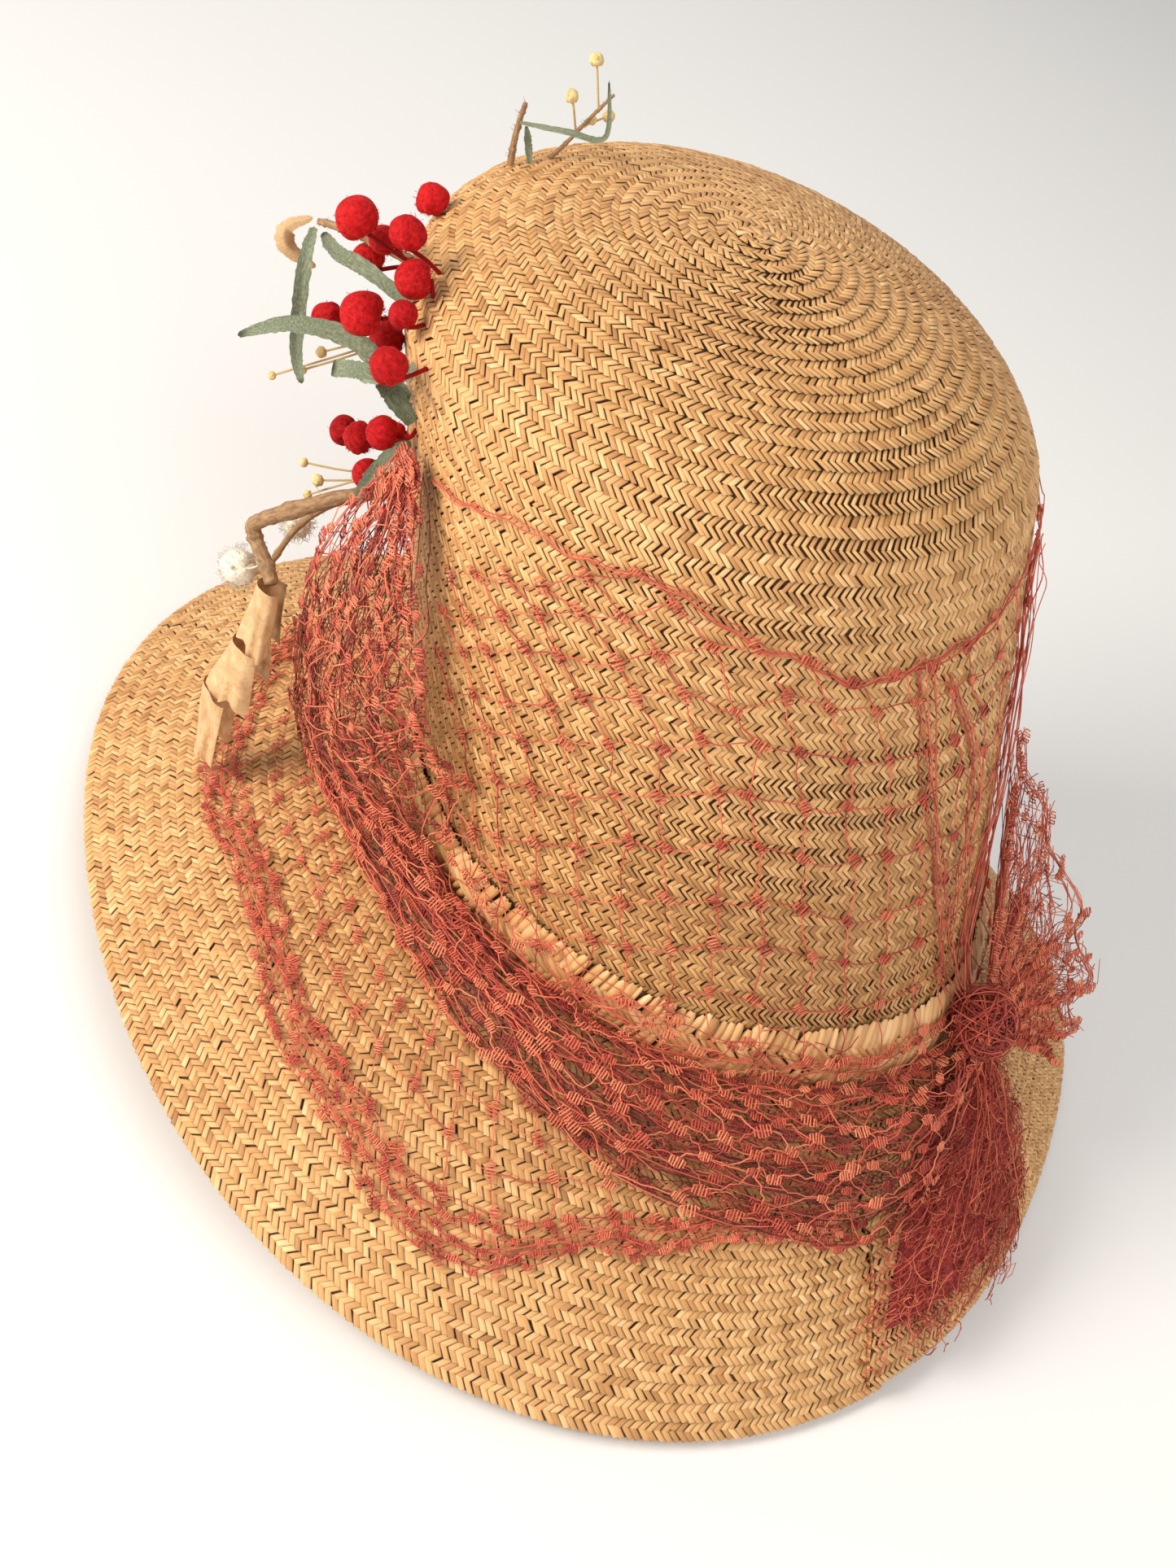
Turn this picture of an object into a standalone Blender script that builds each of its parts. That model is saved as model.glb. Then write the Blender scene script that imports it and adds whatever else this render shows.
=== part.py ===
"""Straw hat with a leaning crown, a drooping brim, a net veil and a spray of berries and dried leaves.

Lengths are in metres and angles in degrees. Bearings run anticlockwise from the wearer's left:
0 is the left (+X), 90 the back (+Y), 180 the right and 270 the front.
"""
import math

import bmesh
import bpy
from mathutils import Vector

# Straw walls and the clearance between pieces that touch on the real hat
STRAW_WALL = 0.0018
CLEARANCE = 0.0003
WELD = 0.00005

# Crown: an oval tube that leans forward to the left and ends in a dome
CROWN_HALF_WIDTH = 0.0870
CROWN_HALF_LENGTH = 0.0945
CROWN_HEIGHT = 0.1745
CROWN_TAPER = 0.0035
SHOULDER_HEIGHT = 0.0355
LEAN_LEFT = 0.0490
LEAN_FORWARD = 0.0205
TIP_SHIFT = 0.0045

# Foot of the crown: its height over the floor, and how much higher its left and back stand
FOOT_HEIGHT = 0.0465
FOOT_RISE_LEFT = 0.0080
FOOT_RISE_BACK = 0.0070

# Brim: mean radius of the rim, its waves (turns, cosine part, sine part) as shares of that
# radius, and the left side that stands up from the floor
RIM_RADIUS = 0.1590
RIM_WAVES = ((1, 0.173, 0.044), (2, -0.003, -0.046), (3, -0.042, -0.052), (4, -0.010, 0.011))
RAISED_HEIGHT = 0.0150
RAISED_BEARING = 31.0
RAISED_SPREAD = 70.0
BRIM_BOW = 0.10
BRIM_ROWS = 7

# Slit at the back of the brim, whose right end laps over the left
SLIT_BEARING = 114.0
SLIT_FIRST_ROW = 3
SLIT_GAP = 0.5
LAP_TURN = 2.2
LAP_LIFT = 0.0032
LAP_SPREAD = 13.0

# Coarse plait around the foot of the crown
PLAIT_HEIGHT = 0.0170
PLAIT_THICKNESS = 0.0028
PLAIT_EARS = 24
PLAIT_EAR_SWELL = 0.16
PLAIT_FOOT = 0.0008

# Veil: a coarse net, its cord and how far it stands off the straw
NET_CORD = 0.0011
NET_LIFT_CROWN = 0.0023
NET_LIFT_BRIM = 0.0018
CROWN_NET_START = 31.0
CROWN_NET_END = 322.0
CROWN_NET_TOP = ((31, 0.86), (60, 0.95), (78, 0.98), (100, 0.91), (110, 0.87), (135, 0.91), (165, 0.98),
                 (215, 0.90), (322, 0.86))
BRIM_NET_EDGE = ((-28, 0.55), (5, 0.64), (24, 0.58), (46, 0.67), (67, 0.77), (84, 0.57), (98, 0.48),
                 (112, 0.54))
BRIM_NET_INNER = 0.09

# Gathered parts of the veil
SWAG_START = 47.0
SWAG_END = 132.0
SWAG_WIDTH = 0.027
SWAG_THICKNESS = 0.0085
SWAG_INNER = 0.0055
SWAG_PLEATS = 5
SWAG_PLEAT_SHARE = 0.16
SWAG_TWIST = 9.0
# The fall hangs from the spray's foot: bearings of its two sides at the top and on the brim
FALL_TOP = (25, 31)
FALL_TOP_SHARE = 0.86
FALL_TOP_LIFT = 0.0042
FALL_FOOT = (-6, 44)
FALL_FOOT_SHARES = (0.36, 0.11)
FALL_FOOT_LIFT = 0.0036
FALL_EDGE_BULGE = 0.0025
FALL_PLEATS = 3
FALL_THICKNESS = 0.0012
FALL_BULGE = 0.0100
FALL_PLEAT = 0.0020
KNOT_BEARING = 144.0
KNOT_STAND_OFF = 0.0126
KNOT_RADIUS = 0.0095
KNOT_PLEATS = 6
KNOT_PLEAT_SHARE = 0.10
# The tail lies on the brim from the knot to near the slit: bearings and shares of its two ends
TAIL_BEARINGS = (145, 128)
TAIL_SHARES = (0.27, 0.88)
TAIL_HALF_SPREADS = (7.0, 14.0)
TAIL_LIFT = 0.0006
TAIL_THICKNESS = 0.0110
TAIL_LOCKS = 7
TAIL_LOCK_SHARE = 0.22
FAN_REACH = 0.0750
FAN_THICKNESS = 0.0010
FAN_PLEAT = 0.0022
FAN_PLEATS = 5
# Outer edge of the fan seen from the knot: out to the right, forward and up, as shares of its reach
FAN_EDGE = ((-0.16, 0.72, 0.84), (0.05, 0.66, 0.56), (0.34, 0.56, 0.22), (0.50, 0.44, -0.05),
            (0.46, 0.28, -0.20), (0.32, 0.06, -0.16))

# Trims are placed on the crown: bearing, share of its height (1 is the shoulder, 2 the tip)
# and stand-off from its face as a share of SPRAY_REACH
SPRAY_REACH = 0.0400
BERRY_RADIUS = 0.0050
# Berries: bearing, height share, stand-off share, radius share
BERRIES = (
    (8, 1.20, 0.51, 1.00), (14, 1.28, 0.34, 0.84), (4, 1.17, 0.25, 0.72), (-8, 1.26, 0.12, 0.80),
    (18, 1.23, 0.18, 0.90), (-2, 1.05, 0.27, 0.80), (13, 1.05, 0.28, 1.06), (4, 0.96, 0.49, 0.80),
    (21, 1.15, 0.16, 0.68), (27, 1.06, 0.25, 0.90), (8, 0.95, 0.12, 0.86), (0, 0.71, 0.45, 0.72),
    (12, 0.79, 0.32, 0.80), (20, 0.86, 0.22, 0.78), (10, 0.70, 0.28, 0.76), (8, 0.76, 0.12, 0.80),
)
BERRY_STEM_RADIUS = 0.0004

LEAF_THICKNESS = 0.0007
# Leaves: width, then bearing, height share and stand-off share from the stalk to the tip
LEAVES = (
    ("leaf_long", 0.0042, ((19, 0.91, 0.035), (12, 0.97, 0.30), (8, 0.98, 0.68), (8, 0.96, 1.02))),
    ("leaf_cut", 0.0040, ((24, 1.00, 0.035), (20, 0.97, 0.24), (17, 0.96, 0.34), (15, 0.95, 0.47))),
    ("leaf_dark", 0.0046, ((21, 0.88, 0.035), (20, 0.91, 0.10), (18, 0.935, 0.17), (17, 0.95, 0.21))),
    ("leaf_fork", 0.0044, ((15, 1.13, 0.025), (10, 1.13, 0.31), (6, 1.11, 0.47), (4, 1.12, 0.58))),
    ("leaf_hanging", 0.0034, ((-3, 1.078, 0.63), (1, 1.03, 0.64), (4, 0.90, 0.69), (6, 0.85, 0.66))),
    ("leaf_low", 0.0040, ((19, 0.83, 0.035), (17.5, 0.79, 0.17), (16, 0.73, 0.30), (14, 0.67, 0.38))),
)

# Twigs: radius at the foot and at the tip, then places from the foot to the tip
TWIGS = (
    ("twig_thick", 0.0023, 0.0019, ((8, 0.655, 0.02), (7, 0.62, 0.52), (4, 0.55, 1.00), (4, 0.52, 1.04),
                                    (6, 0.48, 0.97), (8, 0.455, 0.93))),
    ("twig_thin", 0.0010, 0.0007, ((0, 0.62, 0.02), (0, 0.56, 0.50), (-1, 0.49, 0.80), (-1, 0.38, 1.06))),
    ("twig_brown", 0.0014, 0.0008, ((0, 1.11, 0.01), (-1, 1.11, 0.30), (-2, 1.10, 0.50), (-3, 1.09, 0.62))),
    ("top_twig", 0.0009, 0.0005, ((-25, 1.41, 0.01), (-25, 1.45, 0.20), (-25, 1.49, 0.40))),
    ("top_stem", 0.0005, 0.0004, ((-31, 1.50, 0.01), (-32, 1.55, 0.12), (-33, 1.59, 0.24),
                                  (-35, 1.65, 0.45))),
)

# Narrow strips, as the leaves: a dry curled leaf and the leaves of the far sprig
STRIPS = (
    ("curled_leaf", 0.0034, ((-3.4, 1.09, 0.655), (-4, 1.06, 0.80), (-4, 1.03, 0.78), (-4, 1.00, 0.61))),
    ("top_leaf", 0.0013, ((-23.8, 1.472, 0.29), (-26, 1.58, 0.23), (-29, 1.66, 0.22), (-29, 1.66, 0.56))),
    ("top_blade", 0.0014, ((-26, 1.47, 0.012), (-26, 1.475, 0.12), (-25.5, 1.48, 0.20), (-25.5, 1.48, 0.25))),
)

# Buds: radius, then where they sit
BUDS = (
    ("bud_woolly_left", 0.0052, (3, 0.44, 1.17)),
    ("bud_woolly_right", 0.0040, (-6, 0.45, 0.86)),
    ("bud_low", 0.0016, (2, 0.62, 0.62)),
    ("bud_far", 0.0014, (2, 0.88, 0.55)),
    ("bud_top_1", 0.0018, (-36, 1.60, 0.62)),
    ("bud_top_2", 0.0017, (-30, 1.575, 0.42)),
    ("bud_top_3", 0.0016, (-39, 1.62, 0.28)),
)
BUD_STEM_RADIUS = 0.00035

# Papery petals hang in a row from the thick twig: radius at the top and at the bottom, length,
# opening of the curl in degrees, and how far each stands out from the one above
PETALS = (
    ("petal_tube", 0.0035, 0.0050, 0.0200, 60, 0.0000),
    ("petal_roll", 0.0048, 0.0072, 0.0170, 110, 0.0015),
    ("petal_pale", 0.0060, 0.0035, 0.0240, 190, 0.0030),
)
PETAL_THICKNESS = 0.0006

# Colours read from the photograph
STRAW_COLOUR = (0.66, 0.40, 0.19)
PLAIT_COLOUR = (0.70, 0.45, 0.23)
VEIL_COLOUR = (0.55, 0.09, 0.06)
BERRY_COLOUR = (0.60, 0.01, 0.012)
LEAF_COLOUR = (0.20, 0.25, 0.18)
TWIG_COLOUR = (0.32, 0.20, 0.11)
DRY_COLOUR = (0.62, 0.48, 0.30)
BUD_COLOUR = (0.72, 0.62, 0.42)

WALL_STRAIGHT = CROWN_HEIGHT - SHOULDER_HEIGHT
BRIM_DROP = STRAW_WALL * 1.2
TRIMS_FACE = Vector((0.16, 0.74, 0.65))
FAN_FACE = Vector((-0.45, 0.75, 0.45))


def smooth(value):
    """Ease from 0 to 1."""
    value = min(max(value, 0.0), 1.0)
    return value * value * (3 - 2 * value)


def read_row(table, bearing):
    """Value at a bearing from rows of (bearing, value), eased between rows."""
    for (start, low), (end, high) in zip(table, table[1:]):
        if bearing <= end:
            return low + (high - low) * smooth((bearing - start) / (end - start))
    return table[-1][1]


def towards(bearing):
    """Level unit vector towards a bearing."""
    return Vector((math.cos(math.radians(bearing)), math.sin(math.radians(bearing)), 0))


def crown_point(bearing, share):
    """Outer face of the crown: share 0 to 1 climbs the wall, 1 to 2 goes over the dome to the tip."""
    wall = min(share, 1.0)
    over = math.radians(90) * min(max(share - 1, 0.0), 1.0)
    climb = wall * WALL_STRAIGHT + SHOULDER_HEIGHT * math.sin(over)
    lean = climb / CROWN_HEIGHT
    side = towards(bearing)
    foot = FOOT_HEIGHT + FOOT_RISE_LEFT * side.x + FOOT_RISE_BACK * side.y
    height = foot * (1 - wall) + (FOOT_HEIGHT + WALL_STRAIGHT) * wall + SHOULDER_HEIGHT * math.sin(over)
    width = (CROWN_HALF_WIDTH - CROWN_TAPER * wall) * math.cos(over)
    length = (CROWN_HALF_LENGTH - CROWN_TAPER * wall) * math.cos(over)
    left = width * side.x + LEAN_LEFT * lean - TIP_SHIFT * (1 - math.cos(over))
    back = length * side.y - LEAN_FORWARD * lean
    return Vector((left, back, height))


def rim_point(bearing):
    """Upper edge of the rim: most of it rests on the floor and the left side stands up."""
    waves = sum(even * math.cos(math.radians(turns * bearing)) + odd * math.sin(math.radians(turns * bearing))
                for turns, even, odd in RIM_WAVES)
    turn = (bearing - RAISED_BEARING + 180) % 360 - 180
    raised = math.cos(math.radians(90 * turn / RAISED_SPREAD)) ** 2 if abs(turn) < RAISED_SPREAD else 0
    point = towards(bearing) * RIM_RADIUS * (1 + waves)
    point.z = BRIM_DROP + RAISED_HEIGHT * raised
    return point


def lap_rise(turn, share):
    """Lift of the lapped end of the brim, by the turn past the slit and the share to the rim."""
    first = SLIT_FIRST_ROW / BRIM_ROWS
    return LAP_LIFT * smooth((share - first) / 0.35) * math.exp(-(turn / LAP_SPREAD) ** 2)


def brim_level(bearing, share):
    """Upper face of the brim as if it had no slit: share 0 at the crown, 1 at the rim."""
    foot = crown_point(bearing, 0) + towards(bearing) * CLEARANCE
    rim = rim_point(bearing)
    point = foot.lerp(rim, share)
    point.z += BRIM_BOW * (foot.z - rim.z) * 4 * share * (1 - share)
    return point


def brim_point(bearing, share):
    """Upper face of the brim with its lapped end."""
    point = brim_level(bearing, share)
    point.z += lap_rise((bearing - SLIT_BEARING) % 360, share)
    return point


def off_face(surface, bearing, share, lift):
    """Point that stands a lift off a surface, along its outward normal."""
    step = 0.01
    share = min(share, 1.99)
    along = surface(bearing + 1, share) - surface(bearing - 1, share)
    across = surface(bearing, share + step) - surface(bearing, share - step)
    normal = along.cross(across).normalized()
    if surface is not crown_point:
        normal.negate()
    return surface(bearing, share) + normal * lift


def spray_point(place):
    """Point of the spray from its bearing, height share and stand-off share."""
    bearing, share, off = place
    return off_face(crown_point, bearing, share, off * SPRAY_REACH)


def path_point(points, share):
    """Point of a smooth path through a few places (Catmull-Rom)."""
    last = len(points) - 1
    index = min(int(share * last), last - 1)
    part = share * last - index
    before = points[max(index - 1, 0)]
    start, end = points[index], points[index + 1]
    after = points[min(index + 2, last)]
    return 0.5 * (2 * start + (end - before) * part
                  + (2 * before - 5 * start + 4 * end - after) * part ** 2
                  + (3 * start - before - 3 * end + after) * part ** 3)


def material(name, colour, roughness):
    """Principled material with one colour."""
    made = bpy.data.materials.new(name)
    made.use_nodes = True
    shader = made.node_tree.nodes["Principled BSDF"]
    shader.inputs["Base Color"].default_value = (*colour, 1)
    shader.inputs["Roughness"].default_value = roughness
    shader.inputs["Metallic"].default_value = 0
    made.diffuse_color = (*colour, 1)
    return made


def add_object(name, data, finish):
    """Object in the hat's collection, held by the empty at the hat's origin."""
    made = bpy.data.objects.new(name, data)
    data.materials.append(finish)
    bpy.data.collections["straw_hat"].objects.link(made)
    made.parent = bpy.data.objects["hat_origin"]
    return made


def mapped_grid(columns, rows, place):
    """Grid whose corners (u, v), each 0 to 1, are moved to place(u, v)."""
    grid = bmesh.new()
    bmesh.ops.create_grid(grid, x_segments=columns, y_segments=rows, size=0.5)
    for vert in grid.verts:
        vert.co = place(vert.co.x + 0.5, vert.co.y + 0.5)
    bmesh.ops.remove_doubles(grid, verts=grid.verts, dist=WELD)
    return grid


def finish_mesh(name, grid, finish):
    """Object from a bmesh, with smooth shading."""
    mesh = bpy.data.meshes.new(name)
    for face in grid.faces:
        face.smooth = True
    grid.to_mesh(mesh)
    grid.free()
    return add_object(name, mesh, finish)


def shell(name, columns, rows, place, wall, finish):
    """Sheet with a wall laid inwards from its face."""
    made = finish_mesh(name, mapped_grid(columns, rows, place), finish)
    solid = made.modifiers.new("wall", "SOLIDIFY")
    solid.thickness = wall
    solid.offset = -1
    solid.use_even_offset = True
    return made


def lump(name, around, along, place, finish):
    """Closed body whose sections shrink to a point at both ends."""
    grid = mapped_grid(around, along, place)
    bmesh.ops.recalc_face_normals(grid, faces=grid.faces)
    return finish_mesh(name, grid, finish)


def net(name, columns, rows, place, finish):
    """Net of diamond holes: each square is split from its middle and its old sides are dropped."""
    grid = bmesh.new()
    bmesh.ops.create_grid(grid, x_segments=columns, y_segments=rows, size=0.5)
    sides = [edge for edge in grid.edges if not edge.is_boundary]
    bmesh.ops.poke(grid, faces=grid.faces)
    bmesh.ops.dissolve_edges(grid, edges=sides, use_verts=False)
    for vert in grid.verts:
        vert.co = place(vert.co.x + 0.5, vert.co.y + 0.5)
    made = finish_mesh(name, grid, finish)
    cords = made.modifiers.new("cords", "WIREFRAME")
    cords.thickness = NET_CORD
    cords.offset = 0
    cords.use_boundary = True
    cords.use_even_offset = False
    return made


def tube(name, points, radius, tip_radius, finish):
    """Round tube along straight stretches, with filled caps."""
    curve = bpy.data.curves.new(name, "CURVE")
    curve.dimensions = "3D"
    curve.bevel_depth = 1.0
    curve.bevel_resolution = 1
    curve.use_fill_caps = True
    spline = curve.splines.new("POLY")
    spline.points.add(len(points) - 1)
    for index, (point, place) in enumerate(zip(spline.points, points)):
        point.co = (*place, 1)
        point.radius = radius + (tip_radius - radius) * index / (len(points) - 1)
    return add_object(name, curve, finish)


def ball_on_stem(name, radius, stem_radius, place, steps, finish):
    """Turned ball with its stem, which stands on the crown's wall."""
    bearing, share, off = place
    seat = off_face(crown_point, bearing, share, CLEARANCE)
    centre = off_face(crown_point, bearing, share, max(off * SPRAY_REACH, radius + 2 * CLEARANCE))
    length = (centre - seat).length
    neck = math.degrees(math.asin(stem_radius / radius))
    profile = [(0, 0), (stem_radius, 0)]
    for angle in (neck, 45, 90, 135):
        side, down = math.sin(math.radians(angle)), math.cos(math.radians(angle))
        profile.append((radius * side, length - radius * down))
    profile.append((0, length + radius))
    mesh = bpy.data.meshes.new(name)
    turned = bmesh.new()
    verts = [turned.verts.new((x, 0, z)) for x, z in profile]
    for first, second in zip(verts, verts[1:]):
        turned.edges.new((first, second))
    turned.to_mesh(mesh)
    turned.free()
    made = add_object(name, mesh, finish)
    made.location = seat
    made.rotation_mode = "QUATERNION"
    made.rotation_quaternion = (centre - seat).to_track_quat("Z", "Y")
    screw = made.modifiers.new("turn", "SCREW")
    screw.axis = "Z"
    screw.steps = steps
    screw.render_steps = steps
    screw.use_merge_vertices = True
    screw.merge_threshold = WELD
    screw.use_normal_calculate = True
    screw.use_smooth_shade = True
    return made


def strip(name, width, places, finish):
    """Narrow leaf along its places, creased along the middle, whose broad side faces the back."""
    points = [spray_point(place) for place in places]

    def place(u, v):
        here = path_point(points, v)
        ahead = path_point(points, min(v + 0.02, 1.0)) - path_point(points, max(v - 0.02, 0.0))
        side = ahead.cross(TRIMS_FACE).normalized()
        half = width / 2 * max(math.sin(math.pi * (0.12 + 0.86 * v)) ** 0.6, 0.15)
        crease = TRIMS_FACE * (abs(u - 0.5) - 0.5) * width * 0.35
        return here + side * half * (2 * u - 1) + crease

    return shell(name, 2, 5, place, LEAF_THICKNESS, finish)


def make_crown(finish):
    """Hollow crown, open below."""
    wall_rows, dome_rows = 4, 9

    def place(u, v):
        row = v * (wall_rows + dome_rows)
        share = row / wall_rows if row <= wall_rows else 1 + (row - wall_rows) / dome_rows
        return crown_point(360 * u, share)

    shell("crown", 44, wall_rows + dome_rows, place, STRAW_WALL, finish)


def make_brim(finish):
    """Brim sheet cut by the slit and drawn down by its thickness, so that its rim lies flat."""
    first = SLIT_FIRST_ROW / BRIM_ROWS

    def place(u, v):
        share = 1 - v
        opened = 0 if share < first + 0.01 else SLIT_GAP / 2
        lapped = LAP_TURN * smooth((share - 0.6) / 0.4)
        start = SLIT_BEARING + opened - lapped
        end = SLIT_BEARING + 360 - opened
        bearing = start + (end - start) * u
        point = brim_level(bearing, share)
        point.z += lap_rise(max(bearing - SLIT_BEARING, 0), share)
        return point

    grid = mapped_grid(52, BRIM_ROWS, place)
    lower = bmesh.ops.extrude_face_region(grid, geom=grid.faces[:], use_keep_orig=True)
    verts = [item for item in lower["geom"] if isinstance(item, bmesh.types.BMVert)]
    bmesh.ops.translate(grid, verts=verts, vec=(0, 0, -BRIM_DROP))
    bmesh.ops.recalc_face_normals(grid, faces=grid.faces)
    finish_mesh("brim", grid, finish)


def make_base_plait(finish):
    """Coarse plait around the foot of the crown, with a swelling for each ear."""
    around, along = 48, 8

    def place(u, v):
        turn = 2 * math.pi * v
        ear = 1 + PLAIT_EAR_SWELL * math.cos(2 * math.pi * PLAIT_EARS * u)
        climb = PLAIT_FOOT + PLAIT_HEIGHT * (0.5 - 0.5 * math.cos(turn))
        swell = abs(math.sin(turn)) ** 0.7 * (1 if math.sin(turn) > 0 else -1)
        lift = CLEARANCE + 0.0002 + PLAIT_THICKNESS * ear * (0.5 + 0.5 * swell)
        return off_face(crown_point, 360 * u, climb / WALL_STRAIGHT, lift)

    grid = mapped_grid(around, along, place)
    bmesh.ops.recalc_face_normals(grid, faces=grid.faces)
    finish_mesh("base_plait", grid, finish)


def make_crown_net(finish):
    """Net around the crown, from the top of the plait to its own upper edge."""
    bottom = (PLAIT_HEIGHT + 0.0018) / WALL_STRAIGHT

    def place(u, v):
        bearing = CROWN_NET_START + (CROWN_NET_END - CROWN_NET_START) * u
        share = bottom + (read_row(CROWN_NET_TOP, bearing) - bottom) * v
        return off_face(crown_point, bearing, share, NET_LIFT_CROWN)

    net("veil_crown", 15, 2, place, finish)


def make_brim_net(finish):
    """Net on the left and back of the brim."""
    start, end = BRIM_NET_EDGE[0][0], BRIM_NET_EDGE[-1][0]

    def place(u, v):
        bearing = start + (end - start) * u
        share = BRIM_NET_INNER + (read_row(BRIM_NET_EDGE, bearing) - BRIM_NET_INNER) * v
        return off_face(brim_point, bearing, share, NET_LIFT_BRIM)

    net("veil_brim", 9, 2, place, finish)


def make_swag(finish):
    """Gathered net that lies along the foot of the crown."""
    clear = NET_LIFT_BRIM + NET_CORD

    def place(u, v):
        turn = 2 * math.pi * u
        bearing = SWAG_START + (SWAG_END - SWAG_START) * v
        slant = (brim_level(bearing, 1) - brim_level(bearing, 0)).length
        full = math.sin(math.pi * v) ** 0.4
        middle = 0.5 * SWAG_WIDTH + SWAG_INNER
        across = middle + SWAG_WIDTH / 2 * full * math.cos(turn)
        pleats = 1 + SWAG_PLEAT_SHARE * math.cos(SWAG_PLEATS * turn + SWAG_TWIST * v)
        lift = clear + SWAG_THICKNESS * full * max(math.sin(turn), -0.04) * pleats
        return off_face(brim_point, bearing, across / slant, lift)

    lump("veil_swag", 14, 22, place, finish)


def make_fall(finish):
    """Gathered net that falls from the spray on to the brim."""
    def between(pair, u):
        return pair[0] + (pair[1] - pair[0]) * u

    def place(u, v):
        top = off_face(crown_point, between(FALL_TOP, u), FALL_TOP_SHARE, FALL_TOP_LIFT)
        foot = off_face(brim_point, between(FALL_FOOT, u), between(FALL_FOOT_SHARES, u), FALL_FOOT_LIFT)
        point = top.lerp(foot, v)
        out = towards(10)
        bulge = FALL_BULGE * (1 - u) + FALL_EDGE_BULGE
        pleat = FALL_PLEAT * v * math.sin(2 * math.pi * FALL_PLEATS * u)
        return point + out * (bulge * 4 * v * (1 - v) + pleat * (1 - v ** 4))

    shell("veil_fall", 12, 5, lambda u, v: place(u, 1 - v), FALL_THICKNESS, finish)


def knot_centre():
    """Middle of the knot, against the plait and clear of the brim."""
    return off_face(crown_point, KNOT_BEARING, KNOT_RADIUS / WALL_STRAIGHT, KNOT_STAND_OFF)


def make_knot(finish):
    """Knot of gathered net: a ball with pleats that run from pole to pole."""
    centre = knot_centre()

    def place(u, v):
        turn, rise = 2 * math.pi * u, math.pi * (v - 0.5)
        radius = KNOT_RADIUS * (1 + KNOT_PLEAT_SHARE * math.cos(KNOT_PLEATS * turn) * math.cos(rise))
        level = Vector((math.cos(turn), math.sin(turn), 0)) * math.cos(rise)
        return centre + (level + Vector((0, 0, 1.05 * math.sin(rise)))) * radius

    lump("veil_knot", 16, 8, place, finish)


def make_tail(finish):
    """Frayed end of the net on the brim: a flat bush whose edge runs out in locks."""
    def place(u, v):
        turn = 2 * math.pi * u
        full = math.sin(math.pi * v) ** 0.5
        locks = 1 + TAIL_LOCK_SHARE * v * math.cos(TAIL_LOCKS * turn)
        middle = TAIL_BEARINGS[0] + (TAIL_BEARINGS[1] - TAIL_BEARINGS[0]) * v
        spread = TAIL_HALF_SPREADS[0] + (TAIL_HALF_SPREADS[1] - TAIL_HALF_SPREADS[0]) * v
        bearing = middle + spread * full * locks * math.cos(turn)
        share = TAIL_SHARES[0] + (TAIL_SHARES[1] - TAIL_SHARES[0]) * v
        lift = TAIL_LIFT + TAIL_THICKNESS * (1 - 0.5 * v) * full * max(math.sin(turn), 0) * locks
        return off_face(brim_point, bearing, share, lift)

    lump("veil_tail", 21, 9, place, finish)


def make_fan(finish):
    """Pleated fan of net beyond the knot."""
    centre = knot_centre()
    edge = [Vector((-out, -forward, up)) * FAN_REACH for out, forward, up in FAN_EDGE]

    def place(u, v):
        outer = path_point(edge, u)
        start = outer.normalized() * (KNOT_RADIUS * 1.08 + CLEARANCE)
        pleat = FAN_PLEAT * v * math.cos(2 * math.pi * FAN_PLEATS * u)
        return centre + start.lerp(outer, v) + FAN_FACE * pleat

    shell("veil_fan", 20, 3, place, FAN_THICKNESS, finish)


def make_petals(finish):
    """Curled papery petals, one below the other, under the end of the thick twig."""
    foot = spray_point(TWIGS[0][3][-1])
    down = Vector((0, 0, -1))
    out = towards(6)
    side = down.cross(out)
    top = foot + down * 0.0010
    for name, wide, low, length, opening, shift in PETALS:
        top = top + out * shift

        def place(u, v, top=top, wide=wide, low=low, length=length, opening=opening):
            turn = math.radians(opening / 2 + (360 - opening) * u + 200)
            radius = (wide + (low - wide) * v) * (1 + 0.10 * math.sin(3 * turn))
            return top + down * length * v + (out * math.cos(turn) + side * math.sin(turn)) * radius

        shell(name, 8, 3, place, PETAL_THICKNESS, finish)
        top = top + down * (length + CLEARANCE)


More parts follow.
